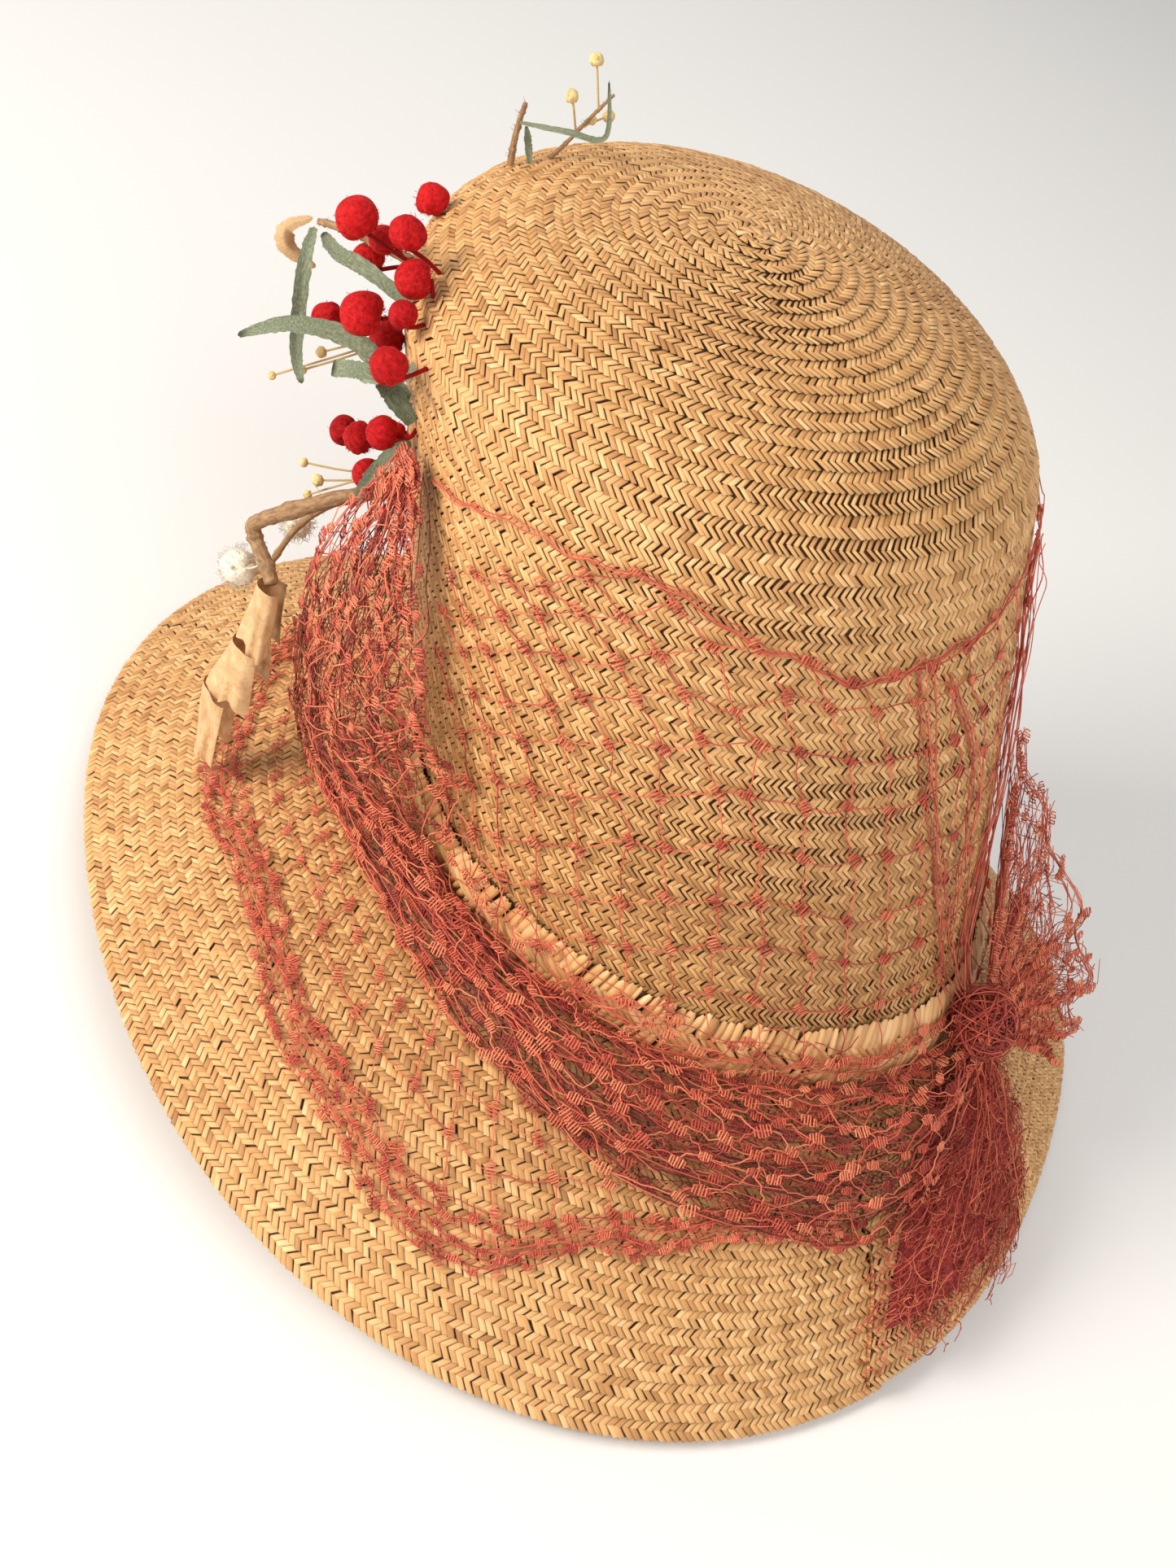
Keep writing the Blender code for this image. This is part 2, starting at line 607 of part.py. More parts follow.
def build_hat():
    """Make every piece."""
    for item in list(bpy.data.objects):
        bpy.data.objects.remove(item)
    group = bpy.data.collections.new("straw_hat")
    bpy.context.scene.collection.children.link(group)
    rims = [rim_point(bearing) for bearing in range(0, 360, 2)]
    origin = bpy.data.objects.new("hat_origin", None)
    origin.location = (-(max(p.x for p in rims) + min(p.x for p in rims)) / 2,
                       -(max(p.y for p in rims) + min(p.y for p in rims)) / 2, 0)
    group.objects.link(origin)

    straw = material("straw", STRAW_COLOUR, 0.6)
    coarse = material("coarse_straw", PLAIT_COLOUR, 0.5)
    veil = material("veil_net", VEIL_COLOUR, 0.7)
    berry = material("berry_velvet", BERRY_COLOUR, 0.8)
    leaf = material("dried_leaf", LEAF_COLOUR, 0.7)
    twig = material("twig_bark", TWIG_COLOUR, 0.8)
    dry = material("papery_petal", DRY_COLOUR, 0.6)
    bud = material("bud_wool", BUD_COLOUR, 0.9)

    make_crown(straw)
    make_brim(straw)
    make_base_plait(coarse)
    make_crown_net(veil)
    make_brim_net(veil)
    make_swag(veil)
    make_fall(veil)
    make_knot(veil)
    make_tail(veil)
    make_fan(veil)
    for number, (*place, size) in enumerate(BERRIES, 1):
        ball_on_stem(f"berry_{number:02d}", BERRY_RADIUS * size, BERRY_STEM_RADIUS, place, 10, berry)
    for name, width, places in LEAVES:
        strip(name, width, places, leaf)
    for name, radius, tip, places in TWIGS:
        tube(name, [spray_point(place) for place in places], radius, tip, twig)
    for name, width, places in STRIPS:
        strip(name, width, places, dry if name == "curled_leaf" else leaf)
    for name, radius, place in BUDS:
        ball_on_stem(name, radius, BUD_STEM_RADIUS, place, 8, bud)
    make_petals(dry)


build_hat()
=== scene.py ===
"""Tall leaning straw hat with a slit brim, a coral net veil and a spray of berries, leaves and petals.

Lengths are in metres and angles in degrees. Bearings run anticlockwise from the wearer's left (+X):
90 is the back, 180 the right and 270 the front.
"""

import math
from functools import partial

import bmesh
import bpy
import numpy as np
from mathutils import Euler, Matrix, Vector


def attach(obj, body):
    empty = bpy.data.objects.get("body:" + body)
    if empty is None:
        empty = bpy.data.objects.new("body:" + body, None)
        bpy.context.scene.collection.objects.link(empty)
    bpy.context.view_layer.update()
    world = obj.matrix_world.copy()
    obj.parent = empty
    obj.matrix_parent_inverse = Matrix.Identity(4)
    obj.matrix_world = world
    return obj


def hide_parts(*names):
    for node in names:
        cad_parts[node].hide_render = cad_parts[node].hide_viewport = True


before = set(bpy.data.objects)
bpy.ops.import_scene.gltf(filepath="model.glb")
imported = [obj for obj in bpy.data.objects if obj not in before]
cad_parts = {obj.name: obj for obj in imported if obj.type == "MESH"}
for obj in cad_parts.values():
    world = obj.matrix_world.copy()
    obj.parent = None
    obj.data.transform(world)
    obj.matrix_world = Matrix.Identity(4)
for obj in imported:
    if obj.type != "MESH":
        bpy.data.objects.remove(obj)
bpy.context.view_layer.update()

# Camera: it looks down at the hat from behind its left side and is rolled. Its place and lens were
# fitted to the outlines of the crown, its foot and the rim.
CAMERA_PLACE = (0.1075, 0.4250, 0.4348)
CAMERA_BEARING = 168.0
CAMERA_ELEVATION = 40.7
CAMERA_ROLL = 21.66
CAMERA_LENS = 46.16
camera = bpy.data.objects.new("camera", bpy.data.cameras.new("camera"))
camera.data.lens = CAMERA_LENS
camera.data.sensor_fit = "VERTICAL"
camera.data.sensor_height = 36
camera.data.clip_start = 0.01
aim = Euler((math.radians(90 - CAMERA_ELEVATION), 0, math.radians(CAMERA_BEARING))).to_matrix()
aim = aim @ Matrix.Rotation(math.radians(CAMERA_ROLL), 3, "Z")
camera.matrix_world = Matrix.Translation(CAMERA_PLACE) @ aim.to_4x4()
bpy.context.scene.collection.objects.link(camera)
bpy.context.scene.camera = camera
bpy.context.scene.view_settings.view_transform = "Standard"


# Studio: a plain pale floor under a warm window-like panel on the hat's left, a wide fill behind
# the camera and a weak one opposite it, in a pale room.
def add_node(tree, kind, inputs=None, **settings):
    """Shader node with its settings made and its inputs set or linked."""
    made = tree.nodes.new("ShaderNode" + kind)
    for name, value in settings.items():
        setattr(made, name, value)
    for name, value in (inputs or {}).items():
        if isinstance(value, bpy.types.NodeSocket):
            tree.links.new(value, made.inputs[name])
        else:
            made.inputs[name].default_value = value
    return made


def set_inputs(node, values):
    """Set inputs of a node by name."""
    for label, value in values.items():
        node.inputs[label].default_value = value


def start_material(name, roughness):
    """Material with its node tree and Principled shader."""
    made = bpy.data.materials.new(name)
    made.use_nodes = True
    shader = made.node_tree.nodes["Principled BSDF"]
    set_inputs(shader, {"Roughness": roughness})
    return made, made.node_tree, shader


def add_panel(name, place, size, power, colour):
    """Soft square light that faces the hat."""
    lamp = bpy.data.lights.new(name, "AREA")
    lamp.shape = "SQUARE"
    lamp.size = size
    lamp.energy = power
    lamp.color = colour
    made = bpy.data.objects.new(name, lamp)
    made.location = place
    made.rotation_euler = (Vector(place) - Vector((0, 0, 0.10))).to_track_quat("Z", "Y").to_euler()
    bpy.context.scene.collection.objects.link(made)


# Name, place, width, power and colour of each panel
PANELS = (
    ("window_panel", (1.05, 0.30, 0.72), 0.60, 18.0, (1.0, 0.93, 0.84)),
    ("fill_panel", (-0.50, 1.05, 0.90), 1.20, 12.0, (1.0, 0.96, 0.92)),
    ("front_panel", (0.10, -0.80, 0.90), 0.90, 2.4, (1.0, 0.97, 0.94)),
)
for panel in PANELS:
    add_panel(*panel)
room = bpy.data.worlds.new("room")
room.use_nodes = True
set_inputs(room.node_tree.nodes["Background"], {"Color": (0.90, 0.91, 0.92, 1), "Strength": 0.42})
bpy.context.scene.world = room

floor_mesh = bpy.data.meshes.new("floor")
floor_grid = bmesh.new()
bmesh.ops.create_grid(floor_grid, x_segments=1, y_segments=1, size=3.0)
floor_grid.to_mesh(floor_mesh)
floor_grid.free()
floor = bpy.data.objects.new("floor", floor_mesh)
floor_paint, tree, shader = start_material("floor_paint", 0.75)
mottle = add_node(tree, "TexNoise", {"Scale": 4.0, "Detail": 4.0})
pale = add_node(tree, "ValToRGB", {"Fac": mottle.outputs["Fac"]})
pale.color_ramp.elements[0].color = (0.84, 0.835, 0.82, 1)
pale.color_ramp.elements[1].color = (0.90, 0.89, 0.87, 1)
tree.links.new(pale.outputs["Color"], shader.inputs["Base Color"])
floor_mesh.materials.append(floor_paint)
bpy.context.scene.collection.objects.link(floor)


# Crown: an oval tube that leans forward to the left and ends in a dome. Its flat herringbone plait
# of split straw goes round in rows, and each row laps the next.
CROWN_HALF_WIDTH = 0.0870
CROWN_HALF_LENGTH = 0.0945
CROWN_HEIGHT = 0.1745
CROWN_TAPER = 0.0035
SHOULDER_HEIGHT = 0.0355
LEAN_LEFT = 0.0490
LEAN_FORWARD = 0.0205
TIP_SHIFT = 0.0045
FOOT_HEIGHT = 0.0465
FOOT_RISE_LEFT = 0.0080
FOOT_RISE_BACK = 0.0070
STRAW_WALL = 0.0018
CLEARANCE = 0.0003
WALL_STRAIGHT = CROWN_HEIGHT - SHOULDER_HEIGHT

# The rim is part of the crown's section because the hat's frame is measured from it
RIM_RADIUS = 0.1590
RIM_WAVES = ((1, 0.173, 0.044), (2, -0.003, -0.046), (3, -0.042, -0.052), (4, -0.010, 0.011))
RAISED_HEIGHT = 0.0150
RAISED_BEARING = 31.0
RAISED_SPREAD = 70.0
BRIM_DROP = STRAW_WALL * 1.2

WALL_ROWS = 30
DOME_ROWS = 21
STITCH_PITCH = 0.00190
STITCH_SLANT = 48.0
STITCH_RIDGE = 0.00026
STITCH_LAP = 0.00050
STITCH_DIP = 0.00022
STITCH_SINK = 0.00012
STITCH_TONE_SPREAD = 0.18
SHORT_STITCHES = 0.004
SLACK_BEARING = 118


def smooth(value):
    """Ease from 0 to 1."""
    value = np.clip(value, 0.0, 1.0)
    return value * value * (3 - 2 * value)


def towards(bearing):
    """Level unit vectors towards bearings."""
    turn = np.radians(np.asarray(bearing, float))
    return np.stack([np.cos(turn), np.sin(turn), 0 * turn], -1)


def crown_point(bearing, share):
    """Outer face of the crown: share 0 to 1 climbs the wall, 1 to 2 goes over the dome to the tip."""
    bearing, share = np.broadcast_arrays(np.asarray(bearing, float), np.asarray(share, float))
    wall = np.minimum(share, 1.0)
    over = np.radians(90) * np.clip(share - 1, 0.0, 1.0)
    climb = wall * WALL_STRAIGHT + SHOULDER_HEIGHT * np.sin(over)
    lean = climb / CROWN_HEIGHT
    side = towards(bearing)
    foot = FOOT_HEIGHT + FOOT_RISE_LEFT * side[..., 0] + FOOT_RISE_BACK * side[..., 1]
    height = foot * (1 - wall) + (FOOT_HEIGHT + WALL_STRAIGHT) * wall + SHOULDER_HEIGHT * np.sin(over)
    width = (CROWN_HALF_WIDTH - CROWN_TAPER * wall) * np.cos(over)
    length = (CROWN_HALF_LENGTH - CROWN_TAPER * wall) * np.cos(over)
    left = width * side[..., 0] + LEAN_LEFT * lean - TIP_SHIFT * (1 - np.cos(over))
    back = length * side[..., 1] - LEAN_FORWARD * lean
    return np.stack([left, back, height], -1)


def rim_point(bearing):
    """Upper edge of the rim: most of it rests on the floor and the left side stands up."""
    bearing = np.asarray(bearing, float)
    reach = RIM_RADIUS * (1 + sum(even * np.cos(np.radians(turns * bearing))
                                  + odd * np.sin(np.radians(turns * bearing))
                                  for turns, even, odd in RIM_WAVES))
    turn = (bearing - RAISED_BEARING + 180) % 360 - 180
    raised = np.where(abs(turn) < RAISED_SPREAD, np.cos(np.radians(90 * turn / RAISED_SPREAD)) ** 2, 0)
    point = towards(bearing) * reach[..., None]
    point[..., 2] = BRIM_DROP + RAISED_HEIGHT * raised
    return point


def off_face(surface, bearing, share, lift):
    """Points that stand a lift off a surface, along its outward normal."""
    share = np.minimum(share, 1.995)
    along = surface(bearing + 0.5, share) - surface(bearing - 0.5, share)
    across = surface(bearing, share + 0.004) - surface(bearing, share - 0.004)
    normal = np.cross(along, across)
    normal /= np.linalg.norm(normal, axis=-1, keepdims=True)
    if surface is not crown_point:
        normal = -normal
    return surface(bearing, share) + normal * np.asarray(lift)[..., None]


rims = rim_point(np.arange(0, 360, 2))
HAT_ORIGIN = -(rims.max(0) + rims.min(0)) / 2 * (1, 1, 0)


def build_piece(name, points, faces, finish, node_names, slot_name, **per_point):
    """Piece of the hat from its points and faces, with a value or a map for each point."""
    mesh = bpy.data.meshes.new(name)
    mesh.from_pydata((points.reshape(-1, 3) + HAT_ORIGIN).tolist(), [], faces)
    corners = np.empty(len(mesh.loops), np.int32)
    mesh.loops.foreach_get("vertex_index", corners)
    for label, values in per_point.items():
        values = np.asarray(values, np.float32)
        if label == "tone":
            mesh.attributes.new(label, "FLOAT", "POINT").data.foreach_set("value", values.ravel())
        else:
            drawn = mesh.uv_layers.new(name="OFBake" if label == "layout" else label)
            drawn.data.foreach_set("uv", values.reshape(-1, 2)[corners].ravel())
    mesh.shade_smooth()
    made = bpy.data.objects.new(name, mesh)
    for paint in finish if isinstance(finish, list) else [finish]:
        mesh.materials.append(paint)
    bpy.context.scene.collection.objects.link(made)
    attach(made, "root")
    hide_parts(*node_names)
    return made


def compute(tree, operation, first, second=0.0, third=0.0):
    """Output of a Math node."""
    made = add_node(tree, "Math", operation=operation)
    for socket, value in zip(made.inputs, (first, second, third)):
        if isinstance(value, bpy.types.NodeSocket):
            tree.links.new(value, socket)
        else:
            socket.default_value = value
    return made.outputs[0]


def add_ramp(tree, fac, stops):
    """Colours along a value: place and linear colour of each stop."""
    made = add_node(tree, "ValToRGB", {"Fac": fac})
    ramp = made.color_ramp
    for index, (place, colour) in enumerate(stops):
        stop = ramp.elements[index] if index < 2 else ramp.elements.new(place)
        stop.position = place
        stop.color = (*colour, 1)
    return made.outputs["Color"]


def start_group(name, inputs, outputs):
    """Node group with named sockets, and its inner input and output nodes."""
    group = bpy.data.node_groups.new(name, "ShaderNodeTree")
    for label, kind, value in inputs:
        socket = group.interface.new_socket(label, in_out="INPUT", socket_type="NodeSocket" + kind)
        if value is not None:
            socket.default_value = value
    for label, kind in outputs:
        group.interface.new_socket(label, in_out="OUTPUT", socket_type="NodeSocket" + kind)
    return group, group.nodes.new("NodeGroupInput").outputs, group.nodes.new("NodeGroupOutput").inputs


def object_noise(tree, scale, detail, distortion=0.0):
    """Noise in the space of the object."""
    place = add_node(tree, "TexCoord")
    made = add_node(tree, "TexNoise", {
        "Vector": place.outputs["Object"], "Scale": scale, "Detail": detail, "Distortion": distortion})
    return made.outputs["Fac"]


def add_bump(tree, shader, height, distance, strength):
    """Bump on a shader from a height."""
    bump = add_node(tree, "Bump", {"Height": height, "Distance": distance, "Strength": strength})
    tree.links.new(bump.outputs["Normal"], shader.inputs["Normal"])


# Split straw: each stitch has its own tone and fine fibres along it, and is darkened towards its edges as
# painted shade where the stitches meet
straw_fibre, given, result = start_group(
    "straw_fibre",
    [("Tone", "Float", 0.5), ("Fibre", "Vector", None), ("Fibres Along", "Float", 1.5),
     ("Fibres Across", "Float", 7.0), ("Painted Edge Shade", "Float", 0.45)],
    [("Color", "Color"), ("Roughness", "Float"), ("Height", "Float")])
maths = partial(compute, straw_fibre)
parts = add_node(straw_fibre, "SeparateXYZ", {"Vector": given["Fibre"]})
offset = maths("MULTIPLY", given["Tone"], 91.7)
stretched = add_node(straw_fibre, "CombineXYZ", {
    "X": maths("MULTIPLY_ADD", parts.outputs["X"], given["Fibres Along"], offset),
    "Y": maths("MULTIPLY", parts.outputs["Y"], given["Fibres Across"]), "Z": offset})
fibres = add_node(straw_fibre, "TexNoise", {
    "Vector": stretched.outputs["Vector"], "Scale": 1.0, "Detail": 3.0, "Roughness": 0.6})
shade = maths("MULTIPLY_ADD", fibres.outputs["Fac"], 0.42, given["Tone"])
shade = maths("MULTIPLY_ADD", object_noise(straw_fibre, 22.0, 3.0), 0.36, shade)
golden = add_ramp(straw_fibre, maths("MULTIPLY", shade, 0.56), [
    (0.0, (0.22, 0.078, 0.018)), (1.0, (0.95, 0.69, 0.38)), (0.30, (0.47, 0.220, 0.070)),
    (0.55, (0.71, 0.390, 0.148)), (0.78, (0.87, 0.540, 0.245))])
# Painted shade: the colour darkens towards the long edges of each stitch, where it meets its neighbours
middle = maths("ABSOLUTE", maths("SUBTRACT", parts.outputs["Y"], 0.5))
to_edge = maths("MULTIPLY", maths("SUBTRACT", 0.5, middle), 7.0)
edge_shadow_mask = maths("SMOOTH_MIN", 1.0, to_edge, 0.3)
shaded = maths("MULTIPLY_ADD", maths("SUBTRACT", edge_shadow_mask, 1.0), given["Painted Edge Shade"], 1.0)
edge_shaded_colour = add_node(straw_fibre, "VectorMath", {0: golden, 1: shaded}, operation="MULTIPLY")
straw_fibre.links.new(edge_shaded_colour.outputs[0], result["Color"])
straw_fibre.links.new(maths("MULTIPLY_ADD", fibres.outputs["Fac"], 0.30, 0.34), result["Roughness"])
straw_fibre.links.new(fibres.outputs["Fac"], result["Height"])


def straw_material(name, along, across, edge, depth):
    """Straw whose pieces carry a tone and a map along their fibres."""
    made, tree, shader = start_material(name, 0.5)
    tone = add_node(tree, "Attribute", attribute_name="tone")
    fibre_map = add_node(tree, "UVMap", uv_map="fibre")
    straw = add_node(tree, "Group", node_tree=straw_fibre)
    set_inputs(straw, {"Fibres Along": along, "Fibres Across": across, "Painted Edge Shade": edge})
    tree.links.new(tone.outputs["Fac"], straw.inputs["Tone"])
    tree.links.new(fibre_map.outputs["UV"], straw.inputs["Fibre"])
    tree.links.new(straw.outputs["Color"], shader.inputs["Base Color"])
    tree.links.new(straw.outputs["Roughness"], shader.inputs["Roughness"])
    add_bump(tree, shader, straw.outputs["Height"], depth, 0.6)
    set_inputs(shader, {"Specular IOR Level": 0.4})
    return made


plait_straw = straw_material("plait_straw", 1.6, 6.0, 0.75, 0.0003)

# A stitch: places along and across it and its height, then its faces. Its top is a flat bar.
STITCH_POINTS = np.array([(-0.07, -1, 0), (-0.07, 1, 0), (1.07, 1, 0), (1.07, -1, 0),
                          (0.01, -0.66, 1), (0.01, 0.66, 1), (0.99, 0.66, 1), (0.99, -0.66, 1)])
STITCH_FACES = ((4, 5, 6, 7), (0, 1, 5, 4), (1, 2, 6, 5), (2, 3, 7, 6), (3, 0, 4, 7))


def sew_rows(surface, edges, span, seed):
    """Herringbone stitches of the rows between the edges, each with a tone and its fibre map."""
    rng = np.random.default_rng(seed)
    points, tones, fibres, layouts = [], [], [], []
    along, across, ridge = STITCH_POINTS.T
    corners = len(STITCH_POINTS)
    fibre = np.stack([along, across / 2 + 0.5], -1)
    tight = 0.94 if surface is crown_point else 1.0
    measured = np.arange(0, 360, 30)
    for row, (low, high) in enumerate(zip(edges, edges[1:])):
        middle = (low + high) / 2
        left, right = span(middle)
        ring = surface(np.linspace(left, right, 181), middle)
        girth = np.linalg.norm(np.diff(ring, axis=0), axis=1).sum()
        tall = np.linalg.norm(surface(measured, low) - surface(measured, high), axis=1).mean()
        count = max(int(girth / STITCH_PITCH), 5)
        # Rows darken towards the foot of the crown and the inner edge of the brim: partly the straw's own
        # browner colour under the veil, partly painted shade near the crown's foot
        shade = 0.20 * smooth(1.7 - 2.2 * middle)
        pitch = (right - left) / count
        shift = tall / 2 / math.tan(math.radians(STITCH_SLANT)) / girth * (right - left)
        for half, turned in ((0, -1), (1, 1)):
            wobble = rng.normal(0, 1, (count, 6))
            mid = left + (np.arange(count) + 0.5 + 0.08 * wobble[:, 0]) * pitch
            lean = shift * turned * (1 + 0.06 * wobble[:, 1])
            slack = 0.30 * smooth(1.6 * np.sin(2.9 * row + 0.02 * mid) - 0.7)
            slack = slack * np.exp(-((mid - SLACK_BEARING) / 42) ** 2)
            wide = pitch / 2 * (tight - slack + 0.05 * wobble[:, 2])
            short = rng.random(count) < SHORT_STITCHES
            reach = np.where(short, 0.70, 1.0 - 0.3 * slack) * (1 + 0.02 * wobble[:, 3])
            part = 0.5 + (along[None] - 0.5) * reach[:, None]
            part -= 0.10 * across[None] * turned
            climbed = (half + part) / 2
            bearing = mid[:, None] + lean[:, None] * (part - 0.5) + across[None] * wide[:, None]
            lap = STITCH_LAP * (1 - climbed) ** 2
            dip = STITCH_DIP * (part - 0.5) * -turned
            lift = lap + dip + STITCH_RIDGE * ridge[None] + 0.00007 * wobble[:, 4:5] - STITCH_SINK
            points.append(off_face(surface, bearing, low + (high - low) * climbed, lift))
            tone = np.clip(0.5 - shade + STITCH_TONE_SPREAD * wobble[:, 5:6], 0, 1)
            tones.append(np.repeat(tone, corners, 1))
            fibres.append(np.broadcast_to(fibre, (count, corners, 2)))
            layouts.append(np.stack([(bearing - left + 3) / (right - left + 6),
                                     (row + climbed + 0.2) / (len(edges) - 0.6)], -1))
    total = sum(len(made) for made in points)
    faces = [tuple(first + corner for corner in face)
             for first in range(0, corners * total, corners) for face in STITCH_FACES]
    return [np.concatenate(points), faces] + [np.concatenate(made) for made in (tones, fibres, layouts)]


def build_plait(name, surface, edges, span, seed, node):
    """Sewn rows as a piece."""
    points, faces, tone, fibre, layout = sew_rows(surface, edges, span, seed)
    build_piece(name, points, faces, plait_straw, [node], "straw", tone=tone, fibre=fibre, layout=layout)


def full_turn(share):
    """Bearings of a row that goes all the way round."""
    return 0.0, 360.0


# Rows on the dome keep the pitch of the wall, so their edges are even along its arc
dome_shares = np.linspace(1, 2, 400)
dome_steps = np.linalg.norm(np.diff(crown_point(90, dome_shares), axis=0), axis=1)
dome_arc = np.append(0, dome_steps.cumsum()) / dome_steps.sum()
dome_edges = np.interp(np.linspace(0, 1, DOME_ROWS + 1), dome_arc, dome_shares)
wall_edges = np.linspace(0, 1, WALL_ROWS + 1)
for label, edges, seed in (("crown_plait_lower", wall_edges[:16], 11),
                           ("crown_plait_upper", wall_edges[15:], 12), ("dome_plait", dome_edges, 13)):
    build_plait(label, crown_point, edges, full_turn, seed, "crown")

# The same weave seen from inside is drawn by a group: stitches counted along, rows counted across
plait_weave, given, result = start_group(
    "plait_weave", [("Count", "Vector", None), ("Slant", "Float", 1.4)],
    [("Tone", "Float"), ("Fibre", "Vector"), ("Height", "Float")])
maths = partial(compute, plait_weave)
parts = add_node(plait_weave, "SeparateXYZ", {"Vector": given["Count"]})
halves = maths("MULTIPLY", parts.outputs["Y"], 2.0)
half_row = maths("FLOOR", halves)
up = maths("FRACT", halves)
side = maths("MULTIPLY_ADD", maths("FLOORED_MODULO", half_row, 2.0), 2.0, -1.0)
slanted = maths("MULTIPLY", maths("MULTIPLY", side, up), given["Slant"])
counted = maths("ADD", parts.outputs["X"], slanted)
number = add_node(plait_weave, "CombineXYZ", {"X": maths("FLOOR", counted), "Y": half_row})
own = add_node(plait_weave, "TexWhiteNoise", {"Vector": number.outputs["Vector"]}, noise_dimensions="3D")
plait_weave.links.new(maths("MULTIPLY_ADD", own.outputs["Value"], 0.5, 0.2), result["Tone"])
inside = maths("FRACT", counted)
strand = add_node(plait_weave, "CombineXYZ", {"X": up, "Y": inside})
plait_weave.links.new(strand.outputs["Vector"], result["Fibre"])
domed = maths("MULTIPLY", maths("MULTIPLY", inside, maths("SUBTRACT", 1.0, inside)), 4.0)
ended = maths("MULTIPLY", maths("MULTIPLY", up, maths("SUBTRACT", 1.0, up)), 4.0)
lapped = maths("MULTIPLY", maths("FRACT", parts.outputs["Y"]), 0.9)
bulge = maths("SMOOTH_MIN", domed, maths("MULTIPLY", ended, 2.0), 0.3)
plait_weave.links.new(maths("ADD", bulge, lapped), result["Height"])

plait_inside, tree, shader = start_material("plait_inside", 0.55)
counts = add_node(tree, "UVMap", uv_map="count")
weave = add_node(tree, "Group", {"Count": counts.outputs["UV"]}, node_tree=plait_weave)
straw = add_node(tree, "Group", {"Tone": weave.outputs["Tone"], "Fibre": weave.outputs["Fibre"]},
                 node_tree=straw_fibre)
tree.links.new(straw.outputs["Color"], shader.inputs["Base Color"])
tree.links.new(straw.outputs["Roughness"], shader.inputs["Roughness"])
add_bump(tree, shader, weave.outputs["Height"], 0.0005, 0.8)

# Painted shadow: the dark colour under the stitches and under the coarse plait's grains stands in for the
# shade in the gaps between them
plait_painted_shadow, tree, shader = start_material("plait_painted_shadow", 0.8)
gap_shadow = add_ramp(tree, object_noise(tree, 900.0, 2.0), [
    (0.3, (0.030, 0.010, 0.003)), (0.75, (0.17, 0.070, 0.020))])
tree.links.new(gap_shadow, shader.inputs["Base Color"])


def grid_quads(rows, columns):
    """Faces of a grid of points that are listed row after row."""
    first = (np.arange(rows - 1)[:, None] * columns + np.arange(columns - 1)[None]).ravel()
    return np.stack([first, first + 1, first + columns + 1, first + columns], -1)


def build_shell(name, surface, columns, edges, span, sink, wall, girth_stitches, node_names):
    """Wall under the stitches: painted shadow colour between them, woven on its inner face and at its edges.
    """
    rows = len(edges)
    across, shares = np.meshgrid(np.linspace(0, 1, columns + 1), np.asarray(edges))
    spans = np.array([span(share) for share in edges])
    bearing = spans[:, :1] + (spans[:, 1:] - spans[:, :1]) * across
    outer = off_face(surface, bearing, shares, np.full(shares.shape, -sink))
    inner = off_face(surface, bearing, shares, np.full(shares.shape, -wall))
    first = np.arange(rows * (columns + 1)).reshape(rows, columns + 1)
    quads = grid_quads(rows, columns + 1)
    back = quads[:, ::-1] + first.size
    border = np.concatenate([first[0], first[1:, -1], first[-1, -2::-1], first[-2:0:-1, 0], first[0, :1]])
    hem = np.stack([border[1:], border[:-1], border[:-1] + first.size, border[1:] + first.size], -1)
    faces = np.concatenate([quads, back, hem]).tolist()
    count = np.stack([across * girth_stitches, (np.arange(rows)[:, None] + 0 * across)], -1)
    made = build_piece(name, np.stack([outer, inner]), faces, [plait_inside, plait_painted_shadow], node_names,
                       "straw", count=np.stack([count, count]))
    paints = np.zeros(len(faces), np.int32)
    paints[:len(quads)] = 1
    made.data.polygons.foreach_set("material_index", paints)
    weld = bmesh.new()
    weld.from_mesh(made.data)
    bmesh.ops.remove_doubles(weld, verts=weld.verts, dist=0.00002)
    weld.to_mesh(made.data)
    weld.free()


crown_edges = np.concatenate([wall_edges[::2], dome_edges[1:-1], [1.995]])
build_shell("crown_shell", crown_point, 120, crown_edges, full_turn, 0.0005, STRAW_WALL, 440, ["crown"])


# Brim: the same plait goes on round below the crown, drooping to the floor. At the back it is
# slit from less than half its width out to the rim, and the right end laps over the left.
BRIM_BOW = 0.10
BRIM_ROWS = 22
SLIT_BEARING = 114.0
SLIT_START = 3 / 7
SLIT_GAP = 0.5
LAP_TURN = 2.2
LAP_LIFT = 0.0032
LAP_SPREAD = 13.0


def brim_level(bearing, share):
    """Upper face of the brim as if it had no slit: share 0 at the crown, 1 at the rim."""
    bearing, share = np.broadcast_arrays(np.asarray(bearing, float), np.asarray(share, float))
    foot = crown_point(bearing, 0 * share) + towards(bearing) * CLEARANCE
    rim = rim_point(bearing)
    point = foot + (rim - foot) * share[..., None]
    point[..., 2] += BRIM_BOW * (foot[..., 2] - rim[..., 2]) * 4 * share * (1 - share)
    return point


def lap_rise(turn, share):
    """Lift of the lapped end, which fades with the turn away from the slit."""
    return LAP_LIFT * smooth((share - SLIT_START) / 0.35) * np.exp(-(turn / LAP_SPREAD) ** 2)


def brim_point(bearing, share):
    """Upper face of the brim with its lapped end."""
    point = brim_level(bearing, share)
    point[..., 2] += lap_rise((np.asarray(bearing) - SLIT_BEARING) % 360, share)
    return point


def brim_sheet(bearing, share):
    """The brim's sheet: bearings past the slit on either side stay on their own side of it."""
    bearing, share = np.broadcast_arrays(np.asarray(bearing, float), np.asarray(share, float))
    point = brim_level(bearing, share)
    point[..., 2] += lap_rise(np.maximum(bearing - SLIT_BEARING, 0), share)
    return point


